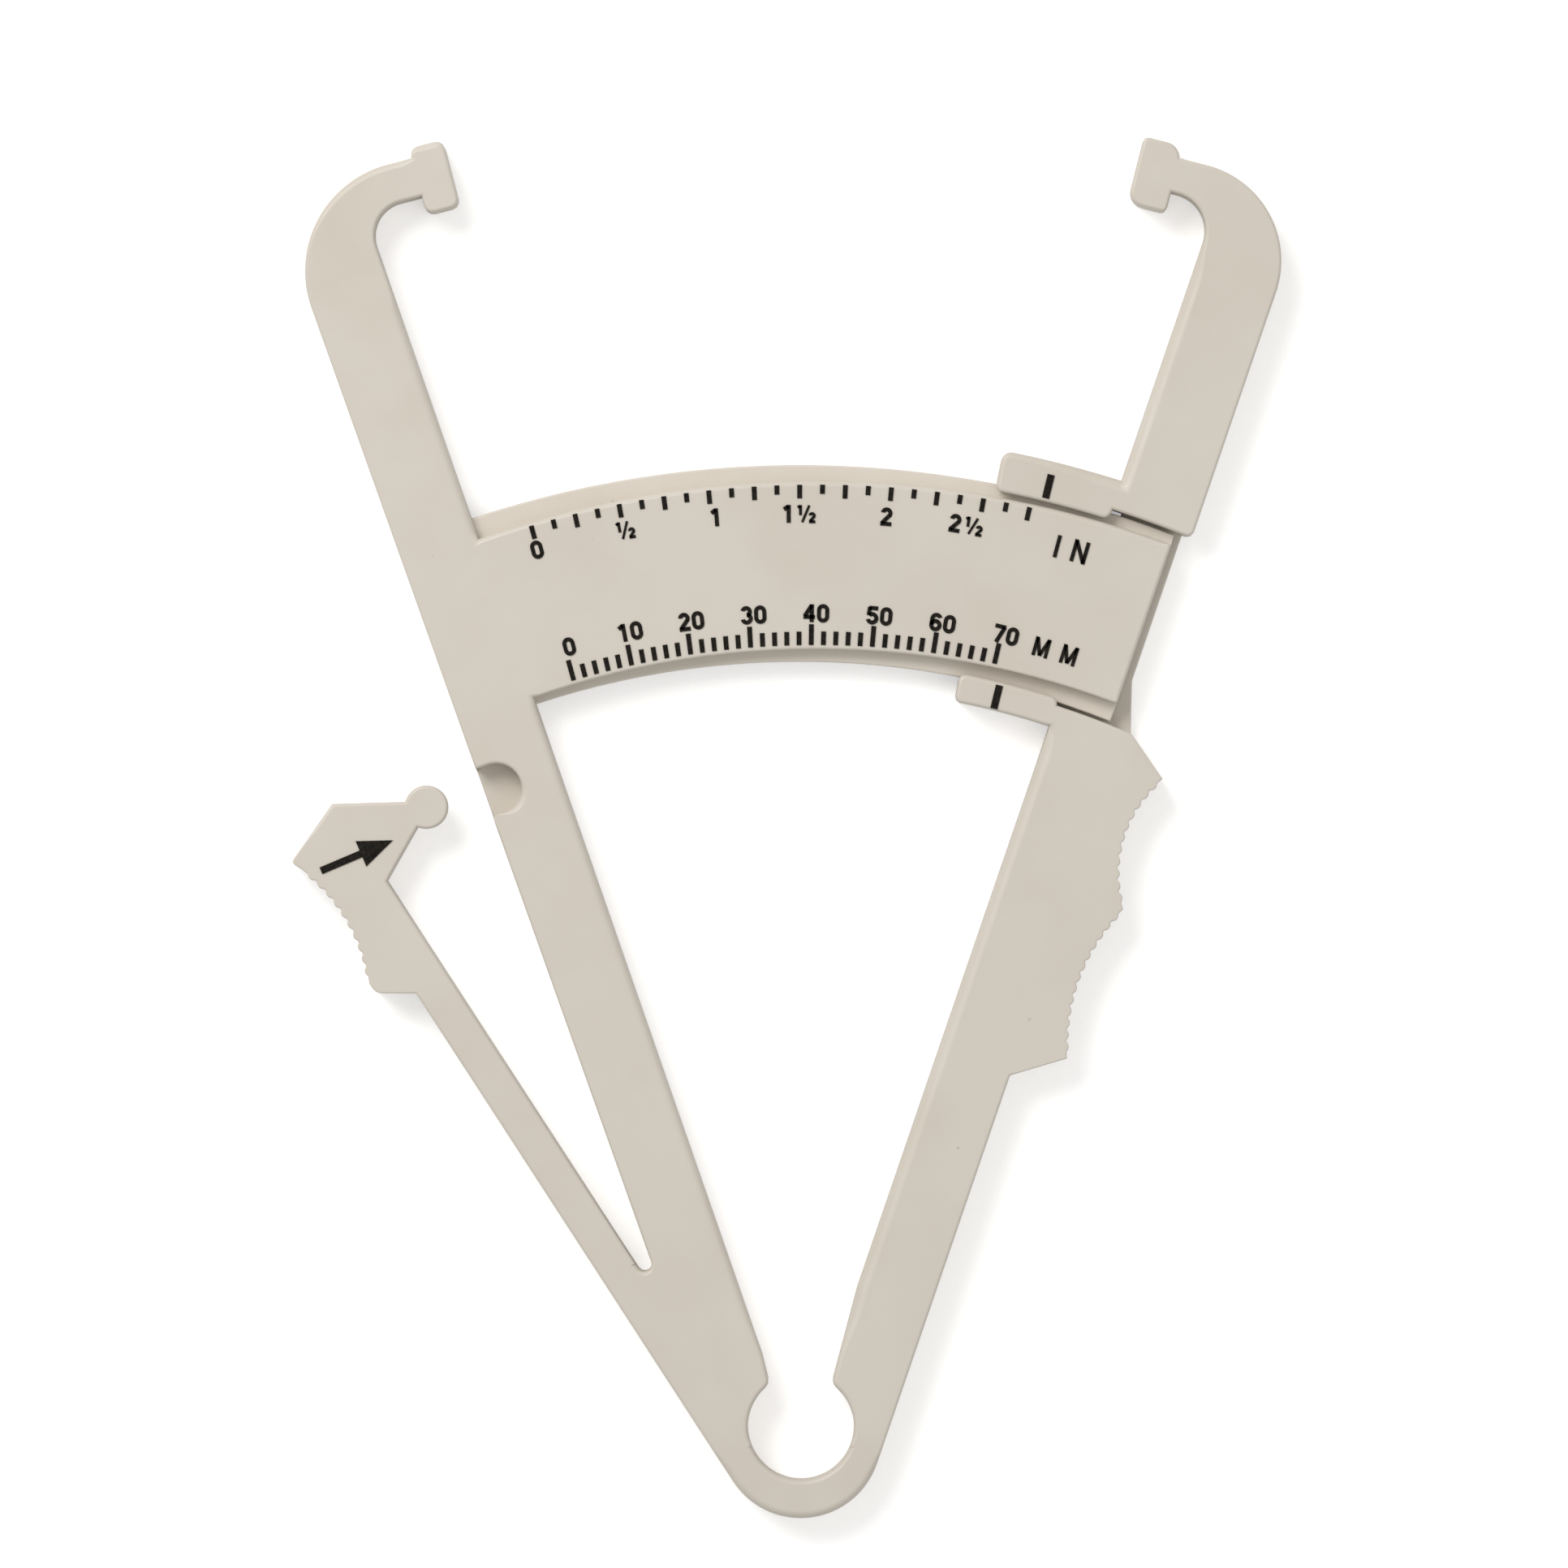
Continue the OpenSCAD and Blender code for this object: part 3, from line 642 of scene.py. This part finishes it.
def rounded(made, width, beside=(), corners=None):
    """Rounds the rims by width(middle, wall normal, level face, wall) in millimetres.

    A rim that lies on a section in beside is a seam and stays sharp. corners gives, for each radius,
    the upright outside corners that are rounded first."""
    made.normal_update()
    for radius, chosen in (corners or {}).items():
        sharp = [e for e in made.edges if is_upright_corner(e) and chosen(middle_of(e) / MM)]
        bmesh.ops.bevel(made, geom=sharp, offset=radius * MM, segments=CORNER_SEGMENTS, profile=0.5,
                        affect="EDGES", material=-1)
        made.normal_update()
    split_long(made, LONGEST_EDGE)
    made.normal_update()
    trees = surfaces(beside)
    count = 0
    for face in [f for f in made.faces if is_level(f)]:
        outline = outline_of(face, width, trees)
        points = sum(w > 0 for vert, step, w in outline)
        if points:
            extruded_rings(made, face, outline)
            count += points
    bmesh.ops.remove_doubles(made, verts=made.verts, dist=HAIR)
    bmesh.ops.dissolve_degenerate(made, dist=HAIR, edges=made.edges)
    made.normal_update()
    print("rounded at", count, "points:", len(made.faces), "faces,", open_edges(made), "open edges")
    return made


# %% [markdown]
# ## Cutting apart and finishing
#
# A seam is the wall that two sections share, so its place is measured from them and not typed in. A plane
# cuts the rounded stretch there and the open ends are closed. Where a small section stands on a larger
# one's wall, that wall lies in the plane too, so the cut goes a fiftieth of a millimetre into the small
# section and meets it alone. At the end each piece is shaded smooth over its roundings, and sharp where
# faces meet at more than fifty degrees.

# %% Cutting at a seam
ON_PLANE = 1e-7
ASIDE = 0.02


def seam(node, other):
    """(a point, the normal) of node's wall that other stands against, pointing into other."""
    mine, theirs = merged_copy(node), merged_copy(other)
    found = []
    for f, g in touching(mine, theirs):
        small = f if f.calc_area() < g.calc_area() else g
        found.append((small.calc_area(), small.calc_center_median(), f.normal.copy()))
    point, normal = max(found, key=lambda wall: wall[0])[1:]
    mine.free()
    theirs.free()
    print("seam", node, "|", other, "at", [round(v / MM, 2) for v in point])
    return point, normal


def sliced(made, point, normal, one_side=False):
    bmesh.ops.bisect_plane(made, geom=made.verts[:] + made.edges[:] + made.faces[:], dist=ON_PLANE,
                           plane_co=point, plane_no=normal, clear_outer=one_side)


def cut(made, plane, into=0.0):
    """(behind, in front) of a seam plane, moved into the front side by this many millimetres."""
    point, normal = plane
    point = point + normal * into * MM
    halves = []
    for side in (1, -1):
        half = made.copy()
        sliced(half, point, normal * side, one_side=True)
        bmesh.ops.holes_fill(half, edges=[e for e in half.edges if len(e.link_faces) == 1], sides=0)
        halves.append(half)
    made.free()
    return halves


def ribbed(made, planes):
    """Adds cuts across the body, where the piece bends."""
    for point, normal in planes:
        sliced(made, point, normal)
    return made


# %% Finishing a piece
SHARP = math.radians(50)
LARGE_FACES_FIRST = 80


def finished(made, name, body, *replaced, material=None):
    """A piece of the moulding, at the origin, shaded smooth over its rounded rims."""
    bad = open_edges(made)
    made.normal_update()
    for face in made.faces:
        face.smooth = True
    for edge in made.edges:
        edge.smooth = edge.calc_face_angle(math.pi) < SHARP
    piece = as_object(made, name)
    even = piece.modifiers.new("even_faces", "WEIGHTED_NORMAL")
    even.keep_sharp = True
    even.weight = LARGE_FACES_FIRST
    piece.data = finished_mesh(piece)
    piece.data.name = name
    piece.data.materials.clear()
    piece.data.materials.append(material or ivory)
    if body:
        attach(piece, body)
    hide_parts(*replaced)
    print(name, len(piece.data.polygons), "faces,", bad, "open edges")
    return piece


# %% [markdown]
# ## Widths of the roundings
#
# All widths are in millimetres. The arms' outer rims are crisp. Their inner rims, where fingers and skin
# pass, are soft, and on the right arm the rounding is more than a millimetre wide. The springy bow is softer
# outside than the arms are, since a sharp rim would start a crack where it bends. A place on an arm is given
# across and up the arm, whose lean from upright is in degrees.

# %% Named widths
CRISP = 0.35
BACK = 0.3
EYE = 0.5
BOW = 0.8
NOTCH = 0.75
LEFT_INNER = 0.85
RIGHT_INNER = 1.25
PLATE_TOP = 0.6
PLATE_END = 0.4
PLATE_LOW = 0.25
LIP = 0.5
TIP = 0.7
BROKEN = 0.2
SERRATED = 0.16
print("roundings, mm:", SERRATED, "to", RIGHT_INNER)


# %% Places and directions
def smooth(v, low, high):
    t = max(0.0, min(1.0, (v - low) / (high - low)))
    return t * t * (3 - 2 * t)


def mix(a, b, t):
    return a + (b - a) * t


def side_of(lean, normal):
    """1 where a wall faces right of an arm with this lean, -1 where it faces left of it."""
    a = math.radians(lean)
    return normal.x * math.cos(a) + normal.y * math.sin(a)


def arm_frame(lean, p):
    """(across, up) of a point, measured from an arm's centre line and along it."""
    a = math.radians(lean)
    return p.x * math.cos(a) + p.y * math.sin(a), -p.x * math.sin(a) + p.y * math.cos(a)


def about_hinge(p, n):
    """(distance from the hinge, how squarely a wall faces away from it, 1 to -1)."""
    radius = math.hypot(p.x, p.y)
    return radius, (n.x * p.x + n.y * p.y) / radius


LEFT_LEAN = 19.4
RIGHT_LEAN = -18.9
SQUARE = 0.9
SHOULDER_TOP = 13
SOFTENS = (15, 21)


def inner_rim(lean, p, full):
    """An arm's inner rim: plain at the hinge's shoulder, and soft from there on."""
    return mix(EYE, full, smooth(arm_frame(lean, p)[1], *SOFTENS))


def broken_edge(p, n, level_face, wall):
    return BROKEN


half_way = inner_rim(RIGHT_LEAN, Vector((6, 18, 0)), RIGHT_INNER)
print("inner rim of the right arm, half way into its soft stretch:", round(half_way, 2), "mm")

# %% [markdown]
# ## Fixed arm
#
# The left arm, its foot, its hook and pad and the scale's raised plate are one stretch of the moulding. The
# round notch in the arm's outer edge takes the lever's ball. Its rim is wide and soft below, where a thumb
# looks for the ball, and crisp above.

# %% Fixed arm's roundings
TOP_FACES = 4
NOTCH_FOOT = 1
PLATE_FOOT = 2.9
HOOK_START = 131
NOTCH_FADES = (-0.2, 0.6)
HOOK_FADES = (0.1, 0.9)
OUTER_SIDE = (-0.5, -5.6)


def fixed_width(p, n, level_face, wall):
    if level_face.normal.z < 0 or level_face.calc_center_median().z < TOP_FACES * MM:
        return BACK
    radius, outward = about_hinge(p, n)
    foot = min(v.co.z for v in wall.verts) / MM
    if foot > PLATE_FOOT:
        return PLATE_TOP if outward > SQUARE else PLATE_LOW if outward < -SQUARE else PLATE_END
    if foot > NOTCH_FOOT:
        return mix(CRISP, NOTCH, smooth(n.y - 0.3 * n.x, *NOTCH_FADES))
    if radius > HOOK_START:
        return mix(CRISP, NOTCH, smooth(n.y, *HOOK_FADES))
    if side_of(LEFT_LEAN, n) > SQUARE and p.y > SHOULDER_TOP:
        return inner_rim(LEFT_LEAN, p, LEFT_INNER)
    if n.x < OUTER_SIDE[0] and p.x < OUTER_SIDE[1]:
        return CRISP
    return EYE


def at_notch(p):
    """The two corners of the notch's mouth, 70 to 82 mm from the hinge."""
    return 70 < p.length < 82 and p.x < -25


def at_plate_end(p):
    """The corners of the plate's free end."""
    return p.length > 85 and p.x > 20


FIXED_CORNERS = {0.5: at_notch, 0.35: at_plate_end}

# %% Fixed arm
fixed = joined(["left_arm", "left_hinge_root", "left_jaw_pad", "left_jaw_hook", "scale_plate"])
fixed = rounded(fixed, fixed_width, ["hinge_bow", "lever_flexure", "scale_rail"], FIXED_CORNERS)
root, rest = cut(fixed, seam("left_hinge_root", "left_arm"))
rest, jaw = cut(rest, seam("left_arm", "left_jaw_hook"))
pad, hook = cut(jaw, seam("left_jaw_pad", "left_jaw_hook"), ASIDE)
arm, plate = cut(rest, seam("left_arm", "scale_plate"), ASIDE)
finished(root, "left_hinge_root_moulding", "fixed_arm", "left_hinge_root")
finished(arm, "left_arm_moulding", "fixed_arm", "left_arm")
finished(hook, "left_jaw_hook_moulding", "fixed_arm", "left_jaw_hook")
finished(pad, "left_jaw_pad_moulding", "fixed_arm", "left_jaw_pad")
finished(plate, "scale_plate_moulding", "fixed_arm", "scale_plate")

# %% [markdown]
# ## Rail
#
# The rail is the thin lower step of the scale, and it is the part that really slides in the guide. Its
# edges are only broken, since they have to run along the guide's walls.

# %% Rail
rail = rounded(merged_copy("scale_rail"), broken_edge, ["left_arm", "scale_plate"])
# The rail's material is the ivory painted lighter, as painted light.
finished(rail, "scale_rail_moulding", "fixed_arm", "scale_rail", material=rail_ivory_painted_lighter)

# %% [markdown]
# ## Moving arm
#
# The handle, its foot, the serrated finger grip and the lower pointer tab are one stretch. The upper stretch
# is the jaw arm with its hook, pad and the inch tab. Only the thin bridge behind the scale joins the two,
# and it is left out of the joining, as it meets them on curved walls at the back.

# %% Roundings of handle, grip and lower tab
MM_TAB = (-2, 75)
SERRATIONS = (6.5, 30)
EYE_SIDE = 4
LIP_FADES = (-0.2, 0.8)


def grip_width(p, n, level_face, wall):
    if level_face.normal.z < 0:
        return BACK
    across, up = arm_frame(RIGHT_LEAN, p)
    if across < MM_TAB[0] and up > MM_TAB[1]:
        return mix(CRISP, LIP, smooth(about_hinge(p, n)[1], *LIP_FADES))
    if side_of(RIGHT_LEAN, n) < -SQUARE and p.y > SHOULDER_TOP:
        return inner_rim(RIGHT_LEAN, p, RIGHT_INNER)
    if across > SERRATIONS[0] and up > SERRATIONS[1]:
        return SERRATED
    if across < EYE_SIDE and up < SERRATIONS[1]:
        return EYE
    return CRISP


# %% Handle, grip and lower tab
lower = joined(["handle", "right_hinge_root", "finger_grip", "mm_pointer_tab"])
lower = rounded(lower, grip_width, ["hinge_bow", "scale_bridge"])
root, rest = cut(lower, seam("right_hinge_root", "handle"))
rest, tab = cut(rest, seam("handle", "mm_pointer_tab"), ASIDE)
handle, grip = cut(rest, seam("handle", "finger_grip"), ASIDE)
finished(root, "right_hinge_root_moulding", "moving_arm", "right_hinge_root")
finished(handle, "handle_moulding", "moving_arm", "handle")
finished(grip, "finger_grip_moulding", "moving_arm", "finger_grip")
finished(tab, "mm_pointer_tab_moulding", "moving_arm", "mm_pointer_tab")

# %% Roundings of jaw arm and upper tab
INCH_TAB = (-2.7, 112)
JAW_BEND = 131.9
JAW_FADES = (132.2, 138)
JAW_INSIDE = (-7, 2)
TAB_TOP = 0.7
TIP_FADES = (-12, -4)
TAB_FADES = (0.2, 0.8)


def jaw_width(p, n, level_face, wall):
    if level_face.normal.z < 0:
        return BACK
    across, up = arm_frame(RIGHT_LEAN, p)
    if across < INCH_TAB[0] and up < INCH_TAB[1]:
        if about_hinge(p, n)[1] > TAB_TOP:
            return mix(TIP, RIGHT_INNER, smooth(across, *TIP_FADES))
        return mix(CRISP, LIP, smooth(-n.x, *TAB_FADES))
    if up > JAW_BEND:
        inside = JAW_INSIDE[0] < across < JAW_INSIDE[1]
        return mix(RIGHT_INNER, CRISP, smooth(up, *JAW_FADES)) if inside else CRISP
    return RIGHT_INNER if side_of(RIGHT_LEAN, n) < -SQUARE else CRISP


# %% Jaw arm and upper tab
upper = joined(["right_jaw_arm", "right_jaw_pad", "right_jaw_hook", "inch_pointer_tab"])
upper = rounded(upper, jaw_width, ["scale_bridge"])
rest, jaw = cut(upper, seam("right_jaw_arm", "right_jaw_hook"))
pad, hook = cut(jaw, seam("right_jaw_pad", "right_jaw_hook"), ASIDE)
arm, tab = cut(rest, seam("right_jaw_arm", "inch_pointer_tab"), ASIDE)
finished(arm, "right_jaw_arm_moulding", "moving_arm", "right_jaw_arm")
finished(hook, "right_jaw_hook_moulding", "moving_arm", "right_jaw_hook")
finished(pad, "right_jaw_pad_moulding", "moving_arm", "right_jaw_pad")
finished(tab, "inch_pointer_tab_moulding", "moving_arm", "inch_pointer_tab")

# %% Bridge behind the scale
bridge = rounded(merged_copy("scale_bridge"), broken_edge,
                 ["handle", "right_jaw_arm", "finger_grip", "inch_pointer_tab", "mm_pointer_tab"])
finished(bridge, "scale_bridge_moulding", "moving_arm", "scale_bridge")

# %% [markdown]
# ## Spring bow
#
# The bow is the caliper's hinge. It bends over its whole round, so the piece is cut into narrow ribs across
# the bend, one at each corner of its round eye. Its outer rim is wide at the bottom and grows crisp towards
# the arms, to meet their rims.

# %% Bow's roundings and ribs
EYE_MIDDLE = Vector((0.15, 7.5, 0)) * MM
EYE_R = 5.5 * MM
ON_EYE = 0.05 * MM
EYE_LOWER = -2.2 * MM
BOW_FADES = (2.5, 5.5)


def bow_width(p, n, level_face, wall):
    if level_face.normal.z < 0:
        return BACK
    outside = n.dot(p - EYE_MIDDLE / MM) > 0
    return mix(BOW, CRISP, smooth(p.y, *BOW_FADES)) if outside else EYE


def eye_rays(made):
    """Directions from the eye's middle to the corners of its lower round, each once."""
    rays = {}
    for v in made.verts:
        ray = v.co.xy - EYE_MIDDLE.xy
        if abs(ray.length - EYE_R) < ON_EYE and ray.y < EYE_LOWER:
            rays[round(ray.x / MM, 2)] = ray.normalized()
    return list(rays.values())


# %% Bow
bow = merged_copy("hinge_bow")
rays = eye_rays(bow)
bow = rounded(bow, bow_width, ["left_hinge_root", "right_hinge_root"])
bow = ribbed(bow, [(EYE_MIDDLE, Vector((-ray.y, ray.x, 0))) for ray in rays])
bow = finished(bow, "hinge_bow_moulding", None, "hinge_bow")
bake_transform(bow)
print("bow cut across the bend by", len(rays), "ribs")

# %% [markdown]
# ## Force lever
#
# The lever is a thin beam that bends at its root. Its head has a serrated thumb rest outside and a short neck
# to the round tip inside. The tip is thinner than the rest, so that it can pass over the notch's floor.

# %% Lever's roundings
LEVER_LEAN = 33
THUMB_SIDE = (-4.9, 64)


def lever_width(p, n, level_face, wall):
    if level_face.normal.z < 0:
        return BACK
    across, up = arm_frame(LEVER_LEAN, p)
    if across < THUMB_SIDE[0] and up > THUMB_SIDE[1]:
        return SERRATED
    return CRISP


# %% Beam, thumb rest and ball
lever = joined(["lever_beam", "thumb_rest", "indicator_ball"])
lever = rounded(lever, lever_width, ["lever_flexure"])
beam, head = cut(lever, seam("lever_beam", "thumb_rest"))
rest, ball = cut(head, seam("thumb_rest", "indicator_ball"))
finished(beam, "lever_beam_moulding", "lever", "lever_beam")
finished(rest, "thumb_rest_moulding", "lever", "thumb_rest")
finished(ball, "indicator_ball_moulding", "lever", "indicator_ball")

# %% Bending root of the lever
BENDS = 24
root_plane = seam("left_hinge_root", "lever_flexure")
tip_plane = seam("lever_beam", "lever_flexure")
bend_from, bend_to = root_plane[0], tip_plane[0]
flexure = rounded(merged_copy("lever_flexure"), lever_width, ["left_hinge_root", "lever_beam"])
flexure = ribbed(flexure, [(bend_from.lerp(bend_to, i / BENDS), root_plane[1]) for i in range(1, BENDS)])
flexure = finished(flexure, "lever_flexure_moulding", None, "lever_flexure")
tuple(bend_from)
tuple(bend_to)
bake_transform(flexure)

# %% [markdown]
# ## Printed figures
#
# The graduations are part of the construction, and the figures beside them are printed in the same ink. They
# stand upright on the curve of the scale, so each one is turned about the hinge by its own reading. They are
# plain bold figures of one stroke width, so each is drawn as a sign writer would: straight bars, and arcs
# that are spun from a short edge as wide as the stroke. Typed letters are not used, as their 1 and M look
# quite different. A figure is two units high about its own middle, and is then scaled to its real height.

# %% Strokes of the figures
# A bar is (x, y, x, y) of its ends, an arc (x, y) of its middle, its radius and its two angles in degrees.
FIGURES = {
    "0": [("arc", 0, 0.35, 0.46, 0, 180), ("arc", 0, -0.35, 0.46, 180, 360),
          ("bar", -0.46, -0.36, -0.46, 0.36), ("bar", 0.46, -0.36, 0.46, 0.36)],
    "1": [("bar", 0.14, -1, 0.14, 1), ("bar", -0.40, 0.50, 0.12, 0.84)],
    "2": [("arc", 0, 0.39, 0.42, -38, 172), ("bar", 0.38, 0.20, -0.44, -0.74),
          ("bar", -0.62, -0.81, 0.62, -0.81)],
    "3": [("arc", -0.02, 0.40, 0.41, -85, 165), ("arc", 0, -0.36, 0.45, -168, 85)],
    "4": [("bar", 0.27, -1, 0.27, 1), ("bar", -0.66, -0.42, 0.62, -0.42),
          ("bar", 0.24, 0.86, -0.52, -0.34)],
    "5": [("bar", -0.42, 0.81, 0.56, 0.81), ("bar", -0.36, 0.90, -0.44, -0.02),
          ("arc", -0.02, -0.34, 0.47, -165, 140)],
    "6": [("arc", 0, -0.35, 0.46, 0, 360), ("arc", 0, 0.35, 0.46, 25, 180),
          ("bar", -0.46, -0.36, -0.46, 0.36)],
    "7": [("bar", -0.60, 0.81, 0.62, 0.81), ("bar", 0.48, 0.80, -0.14, -1)],
    "I": [("bar", 0, -1, 0, 1)],
    "M": [("bar", -0.64, -1, -0.64, 1), ("bar", 0.64, -1, 0.64, 1),
          ("bar", -0.60, 0.92, 0, -0.88), ("bar", 0.60, 0.92, 0, -0.88)],
    "N": [("bar", -0.52, -1, -0.52, 1), ("bar", 0.52, -1, 0.52, 1), ("bar", -0.52, 0.90, 0.52, -0.90)],
    "/": [("bar", -0.42, -1, 0.42, 1)],
}
print("signs:", *FIGURES)

# %% Drawing a figure
STROKE = 0.42
DEGREES_A_STEP = 10
FEWEST_STEPS = 6
SAME_POINT = 1e-4


def bar(made, x0, y0, x1, y1, wide):
    run = Vector((x1 - x0, y1 - y0, 0))
    corners = bmesh.ops.create_grid(made, x_segments=1, y_segments=1, size=0.5)["verts"]
    bmesh.ops.scale(made, verts=corners, vec=(run.length, wide, 1))
    bmesh.ops.rotate(made, verts=corners, matrix=Matrix.Rotation(math.atan2(run.y, run.x), 3, "Z"))
    bmesh.ops.translate(made, verts=corners, vec=((x0 + x1) / 2, (y0 + y1) / 2, 0))


def arc(made, x, y, radius, first, last, wide):
    turn = Matrix.Rotation(math.radians(first), 3, "Z")
    ends = []
    for side in (-1, 1):
        ends.append(made.verts.new(Vector((x, y, 0)) + turn @ Vector((radius + side * wide / 2, 0, 0))))
    edge = made.edges.new(ends)
    steps = max(FEWEST_STEPS, round((last - first) / DEGREES_A_STEP))
    bmesh.ops.spin(made, geom=ends + [edge], cent=(x, y, 0), axis=(0, 0, 1),
                   angle=math.radians(last - first), steps=steps)


def figure(sign, tall, wide):
    """A flat bmesh of one sign, tall millimetres high, with strokes wide millimetres across."""
    made = bmesh.new()
    for kind, *where in FIGURES[sign]:
        (bar if kind == "bar" else arc)(made, *where, wide * 2 / tall)
    bmesh.ops.remove_doubles(made, verts=made.verts, dist=SAME_POINT)
    bmesh.ops.scale(made, verts=made.verts, vec=(tall / 2 * MM, tall / 2 * MM, 1))
    return made


sample = figure("5", 2.0, STROKE)
print("a 5 is drawn with", len(sample.faces), "faces")
sample.free()


# %% Placing the figures
# The three signs of a half: sign, height, place across and up, and stroke width.
HALF = (("1", 1.05, -0.62, 0.38, 0.30), ("/", 1.75, 0, 0, 0.25), ("2", 1.05, 0.66, -0.40, 0.30))


def printed(made, sign, tall, turn, radius, across=0.0, up=0.0, wide=STROKE):
    """Adds a sign to a row, upright at this turn (degrees) and radius (mm) about the hinge."""
    part = figure(sign, tall, wide)
    bmesh.ops.translate(part, verts=part.verts, vec=(across * MM, (radius + up) * MM, 0))
    bmesh.ops.rotate(part, verts=part.verts, matrix=Matrix.Rotation(math.radians(-turn), 3, "Z"))
    mesh = bpy.data.meshes.new("part")
    part.to_mesh(mesh)
    part.free()
    made.from_mesh(mesh)


def printed_half(made, turn, radius, across=0.0):
    """The sign for a half: a raised 1, a slash and a lowered 2."""
    for sign, tall, aside, up, wide in HALF:
        printed(made, sign, tall, turn, radius, across + aside, up, wide)


# %% Film of ink
INK_TALL = 0.1 * MM


def ink_piece(made, name):
    """Raises a row of flat figures into a film of ink on the front face."""
    bmesh.ops.translate(made, verts=made.verts, vec=(0, 0, FRONT))
    bmesh.ops.recalc_face_normals(made, faces=made.faces)
    for face in made.faces:
        if face.normal.z < 0:
            face.normal_flip()
    top = bmesh.ops.extrude_face_region(made, geom=made.faces[:], use_keep_orig=True)["geom"]
    raised = [g for g in top if isinstance(g, bmesh.types.BMVert)]
    bmesh.ops.translate(made, verts=raised, vec=(0, 0, INK_TALL))
    bmesh.ops.recalc_face_normals(made, faces=made.faces)
    bad = open_edges(made)
    piece = as_object(made, name)
    piece.data.materials.append(ink)
    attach(piece, "fixed_arm")
    print(name, len(piece.data.polygons), "faces,", bad, "open edges")


# %% [markdown]
# ## Rows of figures
#
# The hinge turns the jaws, so an opening between the pads is a chord of their reach, and its place on the
# scale is the angle of that chord. The millimetre figures follow that rule. The inch figures stand freely
# beside their marks in the photograph, so each has its own angle and distance, and the letters too.

# %% Figures of the millimetres
MM_TALL = 1.85
APART = 1.42
REACH = 142.1
ZERO_TURN = 15.4
MM_ASIDE = 0.3
MM_RADIUS = 91.8
MM_DRIFT = 1.1
M_TALL = 2.0
M_STROKE = 0.36


def scale_turn(opening):
    """How far right of upright the scale shows an opening between the pads, in degrees."""
    return 2 * math.degrees(math.asin(opening / (2 * REACH))) - ZERO_TURN


figures = bmesh.new()
for reading in range(0, 71, 10):
    turn = scale_turn(reading) + MM_ASIDE
    radius = MM_RADIUS + MM_DRIFT * math.sin(math.radians(turn))
    signs = str(reading)
    for place, sign in enumerate(signs):
        printed(figures, sign, MM_TALL, turn, radius, across=(place - (len(signs) - 1) / 2) * APART)
for turn, radius in ((15.85, 91.75), (17.7, 91.8)):
    printed(figures, "M", M_TALL, turn, radius, wide=M_STROKE)
ink_piece(figures, "mm_figures")

# %% Figures of the inches
INCH_TALL = 1.85
IN_TALL = 2.35
IN_STROKE = 0.40
figures = bmesh.new()
printed(figures, "0", INCH_TALL, -15.44, 102.06)
printed_half(figures, -10.2, 102.02)
printed(figures, "1", INCH_TALL, -4.9, 102.10)
for sign, turn, radius in (("1", 0.0, 102.10), ("2", 9.75, 102.40)):
    printed(figures, sign, INCH_TALL, turn, radius, across=-1.25)
    printed_half(figures, turn, radius, across=0.65)
printed(figures, "2", INCH_TALL, 5.05, 102.20)
for sign, turn, radius in (("I", 15.13, 102.28), ("N", 16.48, 102.36)):
    printed(figures, sign, IN_TALL, turn, radius, wide=IN_STROKE)
ink_piece(figures, "inch_figures")
